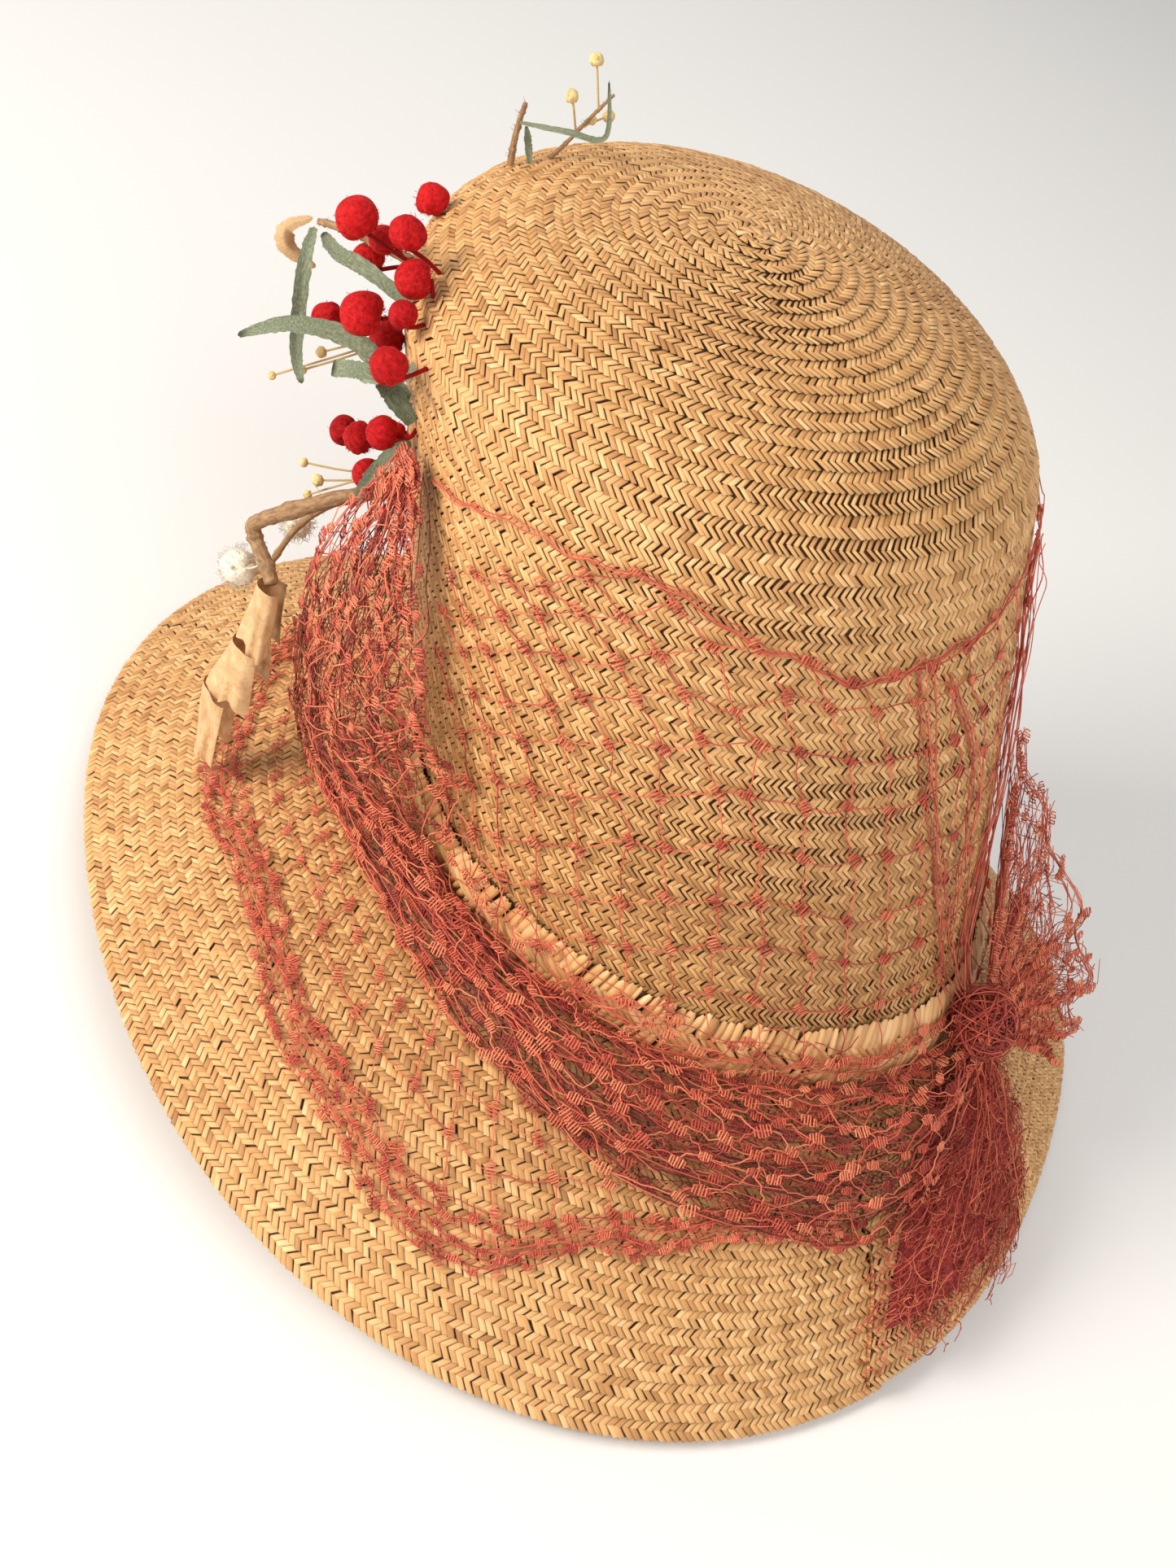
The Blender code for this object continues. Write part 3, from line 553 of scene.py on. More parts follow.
def brim_span(share):
    """Bearings from the lapped end round to the other side of the slit."""
    opened = 0 if share < SLIT_START else SLIT_GAP / 2
    left = SLIT_BEARING + opened - LAP_TURN * float(smooth((share - 0.6) / 0.4))
    return left, SLIT_BEARING + 360 - opened


brim_edges = np.linspace(1, 0, BRIM_ROWS + 1)
build_plait("brim_plait", brim_sheet, brim_edges, brim_span, 21, "brim")
build_shell("brim_shell", brim_sheet, 144, brim_edges, brim_span, 0.0005, BRIM_DROP, 600, ["brim"])


# Coarse plait: a band of long glossy straws around the foot of the crown, plaited like an ear of
# wheat in three slanting courses. It covers the seam between crown and brim.
PLAIT_HEIGHT = 0.0170
PLAIT_THICKNESS = 0.0028
GRAIN_PITCH = 0.0024
GRAIN_COURSES = 3
GRAIN_BOW = 0.0011
GRAIN_WAVE = 0.0006
# Share of its full width that a grain has at each step along it
GRAIN_TAPER = np.array([0.55, 0.92, 1.0, 1.0, 0.90, 0.45])
GRAIN_ACROSS = (-1, -0.5, 0, 0.5, 1)
rng = np.random.default_rng(31)
grain_steps = np.linspace(0, 1, len(GRAIN_TAPER))
grain_along, grain_across = [part.ravel() for part in np.meshgrid(grain_steps, GRAIN_ACROSS, indexing="ij")]
grain_round = np.sqrt(np.clip(1 - grain_across ** 2, 0, 1))
grain_taper = np.repeat(GRAIN_TAPER, len(GRAIN_ACROSS))
grain_quads = grid_quads(len(GRAIN_TAPER), len(GRAIN_ACROSS))
corners = len(grain_along)
fibre = np.stack([grain_along * 2, grain_across / 2 + 0.5], -1)
girth = 2 * math.pi * (CROWN_HALF_WIDTH + CROWN_HALF_LENGTH) / 2
count = int(girth / GRAIN_PITCH)
grains, tones, fibres, layouts = [], [], [], []
for course in range(GRAIN_COURSES):
    turned = 1 if course % 2 else -1
    wobble = rng.normal(0, 1, (count, 6))
    middle = (np.arange(count) + 0.5 * course + 0.12 * wobble[:, 0]) * 360 / count
    slant = 360 / count * (1.9 + 0.25 * wobble[:, 1]) * -turned
    half = 360 / count * 0.60 * (1 + 0.16 * wobble[:, 2])
    bearing = middle[:, None] + slant[:, None] * (grain_along - 0.5)
    bearing = bearing + half[:, None] * grain_across * grain_taper
    low = PLAIT_HEIGHT * (course / GRAIN_COURSES - 0.03)
    reach = PLAIT_HEIGHT / GRAIN_COURSES * 1.25 * (1 + 0.06 * wobble[:, 3:4])
    climb = low + reach * grain_along + GRAIN_WAVE * np.sin(np.radians(middle[:, None] * 7))
    belly = PLAIT_THICKNESS * (0.42 + 0.50 * np.sin(np.pi * np.clip(climb / PLAIT_HEIGHT, 0.03, 0.97)))
    lift = belly + GRAIN_BOW * grain_round * grain_taper + 0.0006 * (grain_along - 0.5) * turned
    lift = lift + 0.00022 * wobble[:, 4:5]
    grains.append(off_face(crown_point, bearing, climb / WALL_STRAIGHT, lift))
    tones.append(np.repeat(np.clip(0.62 + 0.20 * wobble[:, 5:6], 0, 1), corners, 1))
    fibres.append(np.broadcast_to(fibre, (count, corners, 2)))
    row = (course + grain_along * 0.9 + 0 * bearing) / GRAIN_COURSES
    layouts.append(np.stack([(bearing + 6) / 372, row], -1))
points = np.concatenate(grains)
faces = (grain_quads[None] + corners * np.arange(len(points))[:, None, None]).reshape(-1, 4).tolist()
glossy_straw = straw_material("glossy_straw", 1.2, 9.0, 0.30, 0.00015)
set_inputs(glossy_straw.node_tree.nodes["Principled BSDF"], {"Coat Weight": 0.25, "Coat Roughness": 0.35})
build_piece("base_plait_grains", points, faces, glossy_straw, ["base_plait"], "coarse_straw",
            tone=np.concatenate(tones), fibre=np.concatenate(fibres), layout=np.concatenate(layouts))


def plait_core(bearing, share):
    """Band painted in shadow colour under the grains, a little inside their bellies."""
    climb = PLAIT_HEIGHT * share
    lift = PLAIT_THICKNESS * (0.10 + 0.45 * np.sin(np.pi * np.clip(share, 0, 1)))
    return off_face(crown_point, bearing, climb / WALL_STRAIGHT, lift)


band, ring = np.meshgrid(np.linspace(0, 360, 121), np.linspace(0.02, 0.98, 6))
build_piece("base_plait_core", plait_core(band, ring), grid_quads(*band.shape).tolist(),
            plait_painted_shadow, ["base_plait"], "coarse_straw")


# Veil: a coral net of fine twisted threads, tied in small ladder dots and wrapped most of the way
# round the wall of the crown. Its rows of dots rise towards the back and its columns lean.
NET_LIFT = 0.0011
THREAD_RADIUS = 0.00018
CROWN_NET_START = 31.0
CROWN_NET_END = 322.0
CROWN_NET_TOP = ((31, 0.86), (60, 0.95), (78, 0.98), (100, 0.91), (110, 0.87), (135, 0.91), (165, 0.98),
                 (215, 0.90), (322, 0.86))
# Height of one row of dots, then how far each row hangs below it and is pushed along
DOT_LINE = ((15, 0.36), (31, 0.50), (37, 0.555), (50, 0.66), (68, 0.79), (85, 0.885), (98, 0.912),
            (125, 0.89), (150, 0.93), (322, 0.93))
DOT_DROPS = (-0.15, -0.075, 0.0, 0.09, 0.18, 0.283, 0.39, 0.50, 0.61, 0.72, 0.83)
DOT_SHIFTS = (-11.5, -5.5, 0.0, 4.0, 8.0, 9.0, 10.0, 10.5, 11.0, 11.0, 11.0)
DOT_TURN = 8.0
DOT_LENGTH = 0.0042
DOT_HALF_WIDTH = 0.0015
DOT_RUNGS = 6
RUNG_THICKNESS = 1.35

veil_thread, tree, shader = start_material("veil_thread", 0.62)
tone = add_node(tree, "Attribute", attribute_name="tone")
# The tone carries each thread's own colour and, in the gathered net, painted shade that darkens the deeper
# threads
lowered = compute(tree, "SUBTRACT", tone.outputs["Fac"], 0.25)
dye_and_depth_shade = compute(tree, "MULTIPLY_ADD", object_noise(tree, 160.0, 3.0), 0.5, lowered)
coral = add_ramp(tree, dye_and_depth_shade, [
    (0.05, (0.10, 0.005, 0.004)), (0.98, (0.92, 0.27, 0.13)), (0.32, (0.38, 0.028, 0.018)),
    (0.62, (0.70, 0.108, 0.055))])
tree.links.new(coral, shader.inputs["Base Color"])
fibre_map = add_node(tree, "UVMap", uv_map="fibre")
twist = add_node(tree, "TexWave", {"Vector": fibre_map.outputs["UV"], "Scale": 1.2, "Distortion": 1.5},
                 bands_direction="DIAGONAL")
add_bump(tree, shader, twist.outputs["Fac"], 0.00008, 0.7)
set_inputs(shader, {"Sheen Weight": 0.3, "Sheen Roughness": 0.5, "Sheen Tint": (1.0, 0.55, 0.42, 1)})


def unit(vectors):
    """Vectors of length one."""
    return vectors / (np.linalg.norm(vectors, axis=-1, keepdims=True) + 1e-12)


def spin_threads(paths, radius, tones):
    """Three-sided threads along paths, as (points, faces, tone and fibre map of each point)."""
    count, steps = paths.shape[:2]
    ahead = unit(np.gradient(paths, axis=1))
    side = unit(np.cross(ahead, (0.31, -0.22, 0.92)))
    other = np.cross(ahead, side)
    thick = np.broadcast_to(np.asarray(radius, float).reshape(-1, 1), (count, steps))[..., None]
    turned = [paths + thick * (math.cos(turn) * side + math.sin(turn) * other)
              for turn in np.arange(3) * 2 * math.pi / 3]
    points = np.stack(turned, 2)
    start = np.arange(count)[:, None, None] * steps * 3 + np.arange(steps - 1)[None, :, None] * 3
    near = start + np.arange(3)
    far = start + (np.arange(3) + 1) % 3
    faces = np.stack([near, far, far + 3, near + 3], -1).reshape(-1, 4)
    length = np.linalg.norm(np.diff(paths, axis=1, prepend=paths[:, :1]), axis=-1).cumsum(1) * 1000
    turns = np.broadcast_to(np.arange(3) / 3, points.shape[:3])
    fibre = np.stack([np.repeat(length[..., None], 3, 2), turns], -1)
    tone = np.broadcast_to(np.asarray(tones, float).reshape(-1, 1, 1), points.shape[:3])
    return points.reshape(-1, 3), faces, tone.reshape(-1), fibre.reshape(-1, 2)


def build_threads(name, sets, finish, node_names, slot_name):
    """One piece from several sets of threads or lofts."""
    starts = np.cumsum([0] + [len(made[0]) for made in sets])
    faces = np.concatenate([made[1] + start for made, start in zip(sets, starts)])
    points, tone, fibre = (np.concatenate([made[part] for made in sets]) for part in (0, 2, 3))
    return build_piece(name, points, faces.tolist(), finish, node_names, slot_name, tone=tone, fibre=fibre)


def tie_net(place, knots, links, rng, tones, radius, pull, sway, dot_size=1.0):
    """Threads between knots on place(u, v, lift), then the ladder at each knot, drawn along pull."""
    start, end = knots[links[:, 0]], knots[links[:, 1]]
    count = len(links)
    step = np.linspace(0, 1, 7)[None]
    flat = start[:, None] + (end - start)[:, None] * step[..., None]
    high = rng.uniform(0.0001, 0.0004, (count, 1)) + rng.uniform(0, 0.0008, (count, 1)) * np.sin(np.pi * step)
    path = place(flat[..., 0], flat[..., 1], high)
    level = np.zeros((count, 1))
    outward = place(start[:, :1], start[:, 1:], level + 0.01) - place(start[:, :1], start[:, 1:], level)
    side = unit(np.cross(path[:, -1:] - path[:, :1], outward))
    wave = sum(rng.normal(0, sway * size, (count, 1)) * np.sin(np.pi * turns * step)
               for turns, size in ((1, 1.0), (2, 0.5), (5, 0.2)))
    threads = spin_threads(path + side * wave[..., None], radius * rng.uniform(0.8, 1.25, count),
                           rng.uniform(*tones, count))
    knots = knots[np.unique(links)]
    count = len(knots)
    level = np.full(count, 0.0005)
    here = place(knots[:, 0], knots[:, 1], level)
    stack = unit(place(knots[:, 0] + pull[0], knots[:, 1] + pull[1], level) - here)
    outward = unit(place(knots[:, 0], knots[:, 1], level + 0.01) - here)
    side = np.cross(outward, stack)
    lean = rng.normal(0, 0.25, (count, 1))
    stack, side = stack * np.cos(lean) + side * np.sin(lean), side * np.cos(lean) - stack * np.sin(lean)
    corner = np.arange(2 * DOT_RUNGS)
    at = (corner // 2) / (DOT_RUNGS - 1) * 2 - 1
    swing = np.where((corner + 1) // 2 % 2, 1.0, -1.0) * (1 - 0.40 * at ** 2)
    size = rng.uniform(0.7, 1.15, (count, 1, 1)) * dot_size
    rungs = here[:, None] + size * (stack[:, None] * (at * DOT_LENGTH / 2)[:, None]
                                    + side[:, None] * (swing * DOT_HALF_WIDTH)[:, None])
    rise = rng.uniform(0, 0.0004, (count, len(corner), 1))
    rungs += outward[:, None] * rise + rng.normal(0, 0.00005, rungs.shape)
    darkest, palest = tones[0] + 0.05, tones[1] + 0.12
    ladder = spin_threads(rungs, radius * RUNG_THICKNESS, rng.uniform(darkest, palest, count))
    return [threads, ladder]


def square_net(knots, kept):
    """Knots in rows and columns, and the links between those that are kept."""
    number = np.arange(kept.size).reshape(kept.shape)
    links = np.concatenate([np.stack([number[:, :-1], number[:, 1:]], -1).reshape(-1, 2),
                            np.stack([number[:-1], number[1:]], -1).reshape(-1, 2)])
    return knots.reshape(-1, 2), links[kept.ravel()[links].all(1)]


def read_row(table, bearing):
    """Values at bearings from rows of (bearing, value), eased between rows."""
    places, values = np.array(table).T
    index = np.clip(np.searchsorted(places, bearing) - 1, 0, len(places) - 2)
    part = smooth((bearing - places[index]) / (places[index + 1] - places[index]))
    return values[index] + (values[index + 1] - values[index]) * part


def over_crown(bearing, share, lift):
    """Place of the net on the crown: it bows out over the coarse plait at its foot."""
    over = 0.0033 * smooth((PLAIT_HEIGHT + 0.004 - share * WALL_STRAIGHT) / 0.006)
    return off_face(crown_point, bearing, share, NET_LIFT + over + lift)


def wander(rng, count, steps, waves, size):
    """Smooth random drift of each thread."""
    along = np.linspace(0, 1, steps)[None]
    drift = np.zeros((count, steps))
    for wave in range(1, waves + 1):
        size_of_wave = rng.normal(0, 1, (count, 1)) / wave ** 0.7
        drift += size_of_wave * np.sin(np.pi * wave * along + rng.uniform(0, 6.3, (count, 1)))
    return drift * size


def edge_threads(place, strands, steps, rng, tones, spread, lift=0.0005):
    """Loose threads side by side along place(share, offset, lift), the edge of a net."""
    along = np.linspace(0, 1, steps)[None] + np.zeros((strands, 1))
    offset = wander(rng, strands, steps, 26, spread)
    path = place(along, offset, lift + np.abs(wander(rng, strands, steps, 30, 0.0002)))
    return spin_threads(path, THREAD_RADIUS * 0.95, rng.uniform(*tones, strands))


def ease_through(before, start, end, after, part):
    """Point a part of the way from start to end on a smooth path (Catmull-Rom)."""
    return 0.5 * (2 * start + (end - before) * part + (2 * before - 5 * start + 4 * end - after) * part ** 2
                  + (3 * start - before - 3 * end + after) * part ** 3)


def follow(points, share):
    """Places on a smooth path through a few points."""
    points = np.asarray(points, float)
    last = len(points) - 1
    share = np.asarray(share, float)
    index = np.clip((share * last).astype(int), 0, last - 1)
    part = (share * last - index)[..., None]
    return ease_through(*(points[np.clip(index + shift, 0, last)] for shift in (-1, 0, 1, 2)), part)


def bundle(points, count, steps, rng, tones, spread):
    """Loose threads that follow one smooth path."""
    share = np.linspace(0, 1, steps)[None] * rng.uniform(0.75, 1.0, (count, 1))
    sway = np.stack([wander(rng, count, steps, 9, spread) for _ in range(3)], -1)
    thick = THREAD_RADIUS * rng.uniform(0.8, 1.2, count)
    return spin_threads(follow(points, share) + sway, thick, rng.uniform(*tones, count))


KNOT_BEARING = 144.0
KNOT_RADIUS = 0.0095
KNOT_STAND_OFF = 0.0126


def at_crown(bearing, share, lift):
    """One point off the crown."""
    return off_face(crown_point, np.float64(bearing), np.float64(share), lift)


knot_centre = at_crown(KNOT_BEARING, KNOT_RADIUS / WALL_STRAIGHT, KNOT_STAND_OFF)
rng = np.random.default_rng(41)
columns = np.arange(-3, 39)
drops, shifts = np.array(DOT_DROPS)[:, None], np.array(DOT_SHIFTS)[:, None]
bearing = 31 + DOT_TURN * columns[None] + shifts + rng.normal(0, 0.7, (len(DOT_DROPS), len(columns)))
share = np.interp(bearing, *np.array(DOT_LINE).T) - drops + rng.normal(0, 0.008, bearing.shape)
highest = read_row(CROWN_NET_TOP, bearing)
kept = (bearing > CROWN_NET_START) & (bearing < CROWN_NET_END) & (share > 0.02) & (share < highest + 0.03)
knots, links = square_net(np.stack([bearing, np.minimum(share, highest)], -1), kept)
crown_net = tie_net(over_crown, knots, links, rng, (0.38, 0.80), THREAD_RADIUS * 1.15, (2.0, -0.016), 0.0007)


def along_top(along, offset, lift):
    """Upper edge of the net on the crown, in shallow scallops from dot to dot."""
    bearing = CROWN_NET_START + (CROWN_NET_END - CROWN_NET_START) * along
    scallop = 0.010 * np.abs(np.sin(np.pi * (bearing - 3) / DOT_TURN))
    return over_crown(bearing + offset * 90, read_row(CROWN_NET_TOP, bearing) - scallop + offset, lift)


crown_net.append(edge_threads(along_top, 4, 400, rng, (0.5, 0.88), 0.006))
# Gathers drawn down to the knot: their strands, then bearing and height share of each place
GATHERS = (
    (6, ((123, 0.90), (128, 0.66), (134, 0.40), (140, 0.18))),
    (6, ((131, 0.85), (143, 0.59), (140, 0.38), (143, 0.18))),
    (11, ((160, 0.98), (161, 0.80), (157, 0.50), (148, 0.20))),
)
for strands, route in GATHERS:
    points = [over_crown(np.float64(turn), np.float64(rise), 0.0012) for turn, rise in route] + [knot_centre]
    crown_net.append(bundle(points, strands, 40, rng, (0.4, 0.85), 0.0012))
veil_crown = build_threads("veil_crown_net", crown_net, veil_thread, ["veil_crown"], "veil_net")


# Veil on the brim: the same net goes on over the left and back of the brim. Its outer edge is
# a few loose threads over meshes that are drawn together.
BRIM_NET_EDGE = ((-28, 0.55), (5, 0.64), (24, 0.58), (46, 0.67), (67, 0.77), (84, 0.57), (98, 0.48),
                 (112, 0.54))
BRIM_NET_ROWS = 6


def over_brim(bearing, part, lift):
    """Place of the net on the brim: part 0 is by the crown and 1 its outer edge."""
    share = 0.03 + (read_row(BRIM_NET_EDGE, bearing) - 0.03) * part
    return off_face(brim_point, bearing, share, 0.0008 + lift)


def diamond_net(columns, rows, rng, jitter):
    """Knots of a net pulled along v, each 0 to 1, and its links."""
    v, u = np.meshgrid(np.arange(rows + 1.0), np.arange(columns + 1.0), indexing="ij")
    u = (u + 0.5 * (v % 2)) / (columns + 0.5) + rng.normal(0, jitter / columns, u.shape)
    v = v / rows + rng.normal(0, jitter / rows, u.shape)
    number = np.arange(u.size).reshape(u.shape)
    links = [np.stack([number[:-1], number[1:]], -1).reshape(-1, 2)]
    for row in range(rows):
        start, end = number[row, 1:], number[row + 1, :-1]
        if row % 2:
            start, end = number[row, :-1], number[row + 1, 1:]
        links.append(np.stack((start, end), -1))
    return np.clip(np.stack([u, v], -1), 0, 1).reshape(-1, 2), np.concatenate(links)


BRIM_NET_START = -28


def brim_edge_place(along, across, lift):
    """Place near the outer edge of the net on the brim."""
    return over_brim(BRIM_NET_START + 140 * along, across, lift)


rng = np.random.default_rng(42)
row, column = np.meshgrid(np.arange(BRIM_NET_ROWS + 1.0), np.arange(-2.0, 28.0), indexing="ij")
bearing = BRIM_NET_START + 5.6 * column + 2.8 * row + rng.normal(0, 0.5, row.shape)
kept = (bearing > BRIM_NET_START) & (bearing < 113)
part = row / BRIM_NET_ROWS + rng.normal(0, 0.012, row.shape)
knots, links = square_net(np.stack([bearing, part], -1), kept)
brim_net = tie_net(over_brim, knots, links, rng, (0.45, 0.88), THREAD_RADIUS, (2.0, 0.10), 0.0007)
knots, links = diamond_net(3, 58, rng, 0.30)
brim_net += tie_net(lambda across, along, lift: brim_edge_place(along, 0.83 + 0.19 * across, lift + 0.0006),
                    knots, links, rng, (0.30, 0.80), THREAD_RADIUS, (0.0, 0.01), 0.0006, 0.7)
brim_net.append(edge_threads(lambda along, offset, lift: brim_edge_place(along, 0.93 + offset, lift),
                             4, 220, rng, (0.38, 0.85), 0.028, 0.0009))
veil_brim = build_threads("veil_brim_net", brim_net, veil_thread, ["veil_brim"], "veil_net")


# Gathered net: from the spray the veil falls down the left of the crown, turns along the coarse
# plait at its foot and runs on to the knot, in long loose meshes over a tangle of deep red threads
# that are painted darker the deeper they lie, as shade under the meshes.
FALL_TOP_SHARE = 0.86
# Stations of the flow: bearing and height share by the crown, bearing and brim share outside
FLOW_SIDES = ((42, 0.31, 14, 0.27), (52, 0.24, 38, 0.235), (64, 0.16, 56, 0.28), (80, 0.135, 76, 0.37),
              (96, 0.13, 94, 0.44), (112, 0.10, 112, 0.55), (127, 0.11, 126, 0.50), (137, 0.10, 139, 0.27))
FLOW_BULGE = 0.0075
FLOW_FOLD = 0.0012
FLOW_THREAD_RADIUS = 0.00019


def fall_point(across, down):
    """Point of the part that hangs: 0 across is by the crown, 0 down is the spray's foot."""
    top = off_face(crown_point, 31 - 6 * across, FALL_TOP_SHARE + 0 * across, 0.0042 + 0 * across)
    foot = off_face(brim_point, 44 - 50 * across, 0.11 + 0.25 * across, 0.0036 + 0 * across)
    bulge = (0.0100 * across + 0.0025) * 4 * down * (1 - down)
    return top + (foot - top) * np.asarray(down)[..., None] + towards(10.0) * bulge[..., None]


def flow_station(across, inner, rise, outer, reach):
    """Section of the flow over the plait, from the wall of the crown to its edge on the brim."""
    bearing = inner + (outer - inner) * across
    wall = np.clip(1 - across / 0.3, 0, 1)
    flat = np.clip((across - 0.3) / 0.7, 0, 1)
    on_wall = off_face(crown_point, bearing, rise * wall + 0.02, 0.0022 + 0.0032 * smooth(1 - wall))
    lifted = 0.0022 + FLOW_BULGE * np.sin(np.pi * flat ** 0.8)
    on_brim = off_face(brim_point, bearing, 0.04 + (reach - 0.04) * flat, lifted)
    mixed = smooth((across - 0.22) / 0.16)[..., None]
    return on_wall * (1 - mixed) + on_brim * mixed


sides = np.linspace(0, 1, 21)
flow_grid = [fall_point(sides, start + rise * sides) for start, rise in ((0, 0), (0.28, 0.12), (0.55, 0.40))]
flow_grid += [flow_station(sides, *station) for station in FLOW_SIDES]
flow_grid.append(knot_centre + (flow_grid[-1] - flow_grid[-1].mean(0)) * 0.25)
flow_grid = np.array(flow_grid)
flow_normals = unit(np.cross(np.gradient(flow_grid, axis=0), np.gradient(flow_grid, axis=1)))
away = flow_grid * (1, 1, 0) - (0.02, -0.01, -0.05)
flow_normals *= np.sign((flow_normals * away).sum(-1, keepdims=True))
middles = np.linalg.norm(np.diff(flow_grid[:, 10], axis=0), axis=1).cumsum()
flow_shares = np.append(0, middles) / middles[-1]
FALL_END = flow_shares[3]


def flow_place(across, along, lift):
    """Place in the flow: share across it from the crown's side, and along it from the spray."""
    across, along, lift = np.broadcast_arrays(across, along, lift)
    last = len(flow_grid) - 1
    station = np.interp(along, flow_shares, np.arange(last + 1))
    index = np.clip(station.astype(int), 0, last - 1)
    part = (station - index)[..., None]
    column = np.clip(across, 0, 1) * 20
    left = np.minimum(column.astype(int), 19)
    beside = (column - left)[..., None]

    def at(grid, shift):
        chosen = np.clip(index + shift, 0, last)
        return grid[chosen, left] * (1 - beside) + grid[chosen, left + 1] * beside

    point = ease_through(*(at(flow_grid, shift) for shift in (-1, 0, 1, 2)), part)
    outward = at(flow_normals, 0) * (1 - part) + at(flow_normals, 1) * part
    fold = FLOW_FOLD * np.sin(2 * np.pi * 4.5 * across + 5 * along)
    fold = fold * np.sin(np.pi * np.clip(along, 0, 1)) ** 0.4
    return point + outward * (np.maximum(lift, -0.0016) + fold)[..., None]


def flow_strands(rng, count, steps, first, last, sides, depth, tones, radius):
    """Loose threads that run along a stretch of the flow."""
    from_first = rng.random((count, 1)) < 0.4
    begin = np.where(from_first, first, rng.uniform(first, last - 0.3 * (last - first), (count, 1)))
    run = (last - begin) * rng.uniform(0.45, 1.0, (count, 1))
    along = begin + run * np.linspace(0, 1, steps)[None]
    across = rng.uniform(*sides, (count, 1)) + wander(rng, count, steps, 9, 0.060)
    lift = rng.uniform(*depth, (count, 1)) + wander(rng, count, steps, 9, 0.0005)
    thick = radius * rng.uniform(0.8, 1.25, count)
    return spin_threads(flow_place(across, along, lift), thick, rng.uniform(*tones, count))


# Piece, node, its stretch of the flow, its cells, deep threads, inner edge, seed and sheet
FLOWS = (
    ("veil_fall_net", "veil_fall", 0.0, FALL_END, (5, 18), 60, 0.0, 44,
     (0.30, 0.16), 0.0180, ["crown", "base_plait"]),
    ("veil_swag_net", "veil_swag", FALL_END * 0.92, 1.0, (7, 27), 40, 0.30, 43,
     (0.45, 0.18), 0.0300, ["base_plait", "brim"]),
)
for name, node, first, last, cells, crowd, inner, seed, cut, area, under in FLOWS:
    rng = np.random.default_rng(seed)
    # Loose threads from the deepest to the highest: number, sides, depth, tones and radius. The deeper
    # threads get darker tones, as painted shade.
    gathered = [flow_strands(rng, number, 30, first, last, edges, depth, tones, radius)
                for number, edges, depth, tones, radius in (
                    (crowd, (inner + 0.12, 1.0), (-0.0015, 0.0006), (0.0, 0.26), 0.00015),
                    (30, (0.35, 0.80), (-0.001, 0.001), (0.10, 0.55), 0.00016),
                    (30, (-0.02, 1.0), (0.0004, 0.002), (0.40, 0.85), 0.00018))]
    # Two layers of meshes: the lower one gets darker tones, as painted shade under the upper one
    for columns, high, edge, tones in ((cells[0] + 1, 0.0004, inner, (0.15, 0.55)),
                                       (cells[0], 0.0016, inner / 3, (0.55, 0.95))):
        knots, links = diamond_net(columns, cells[1], rng, 0.28)

        def in_stretch(across, along, lift):
            return flow_place(edge + (1 - edge) * across, first + (last - first) * along, lift + high)

        gathered += tie_net(in_stretch, knots, links, rng, tones, FLOW_THREAD_RADIUS, (0.0, 0.02), 0.0012)
    veil_flow = build_threads(name, gathered, veil_thread, [node], "veil_net")


# Knot, tail and fan: at the right of the back the swag is tied in a knot. One end of the net lies
# on the brim as a frizzy bush, the other stands out beyond the knot as an open fan.
FAN_REACH = 0.0750
FAN_EDGE = ((-0.16, 0.72, 0.84), (0.05, 0.66, 0.56), (0.34, 0.56, 0.22), (0.50, 0.44, -0.05),
            (0.46, 0.28, -0.20), (0.32, 0.06, -0.16))
TAIL_BEARINGS = (143, 127)
TAIL_SHARES = (0.16, 0.90)
TAIL_HALF_SPREADS = (12.0, 21.0)
TAIL_THICKNESS = 0.0110
FAN_STRANDS = 300
TAIL_CURLS = 760
TAIL_STRANDS = 12
KNOT_LOOPS = 170
rng = np.random.default_rng(45)
axis = unit(rng.normal(0, 1, (KNOT_LOOPS, 3)))
level = unit(np.cross(axis, (0.2, 0.5, 0.8)))
upright = np.cross(axis, level)
around = np.linspace(0, 1, 18)[None] * rng.uniform(2.5, 5.5, (KNOT_LOOPS, 1))
around = around + rng.uniform(0, 6.3, (KNOT_LOOPS, 1))
wound = KNOT_RADIUS * (rng.uniform(0.70, 1.10, (KNOT_LOOPS, 1)) + wander(rng, KNOT_LOOPS, 18, 6, 0.05))
ring = np.cos(around)[..., None] * level[:, None] + np.sin(around)[..., None] * upright[:, None]
loops = spin_threads(knot_centre + wound[..., None] * ring, 0.00022, rng.uniform(0.10, 0.70, KNOT_LOOPS))
veil_knot = build_threads("veil_knot_net", [loops], veil_thread, ["veil_knot"], "veil_net")

# Painted shadow: a dark red tangle on sheets inside the knot and the bush stands in for the shade in their
# dense middles
painted_net_shadow, tree, shader = start_material("painted_net_shadow", 0.9)
tangle = object_noise(tree, 700.0, 4.0, 1.5)
deep_red = add_ramp(tree, tangle, [
    (0.30, (0.10, 0.008, 0.008)), (0.75, (0.60, 0.080, 0.065)), (0.52, (0.34, 0.030, 0.026))])
tree.links.new(deep_red, shader.inputs["Base Color"])
add_bump(tree, shader, tangle, 0.0006, 1.0)


def build_sheet(name, columns, rows, place, finish, node_names, slot_name):
    """Sheet of place(u, v) as a piece."""
    u, v = np.meshgrid(np.linspace(0, 1, columns + 1), np.linspace(0, 1, rows + 1))
    quads = grid_quads(rows + 1, columns + 1)
    return build_piece(name, place(u, v), quads.tolist(), finish, node_names, slot_name,
                       fibre=np.stack([u, v], -1))


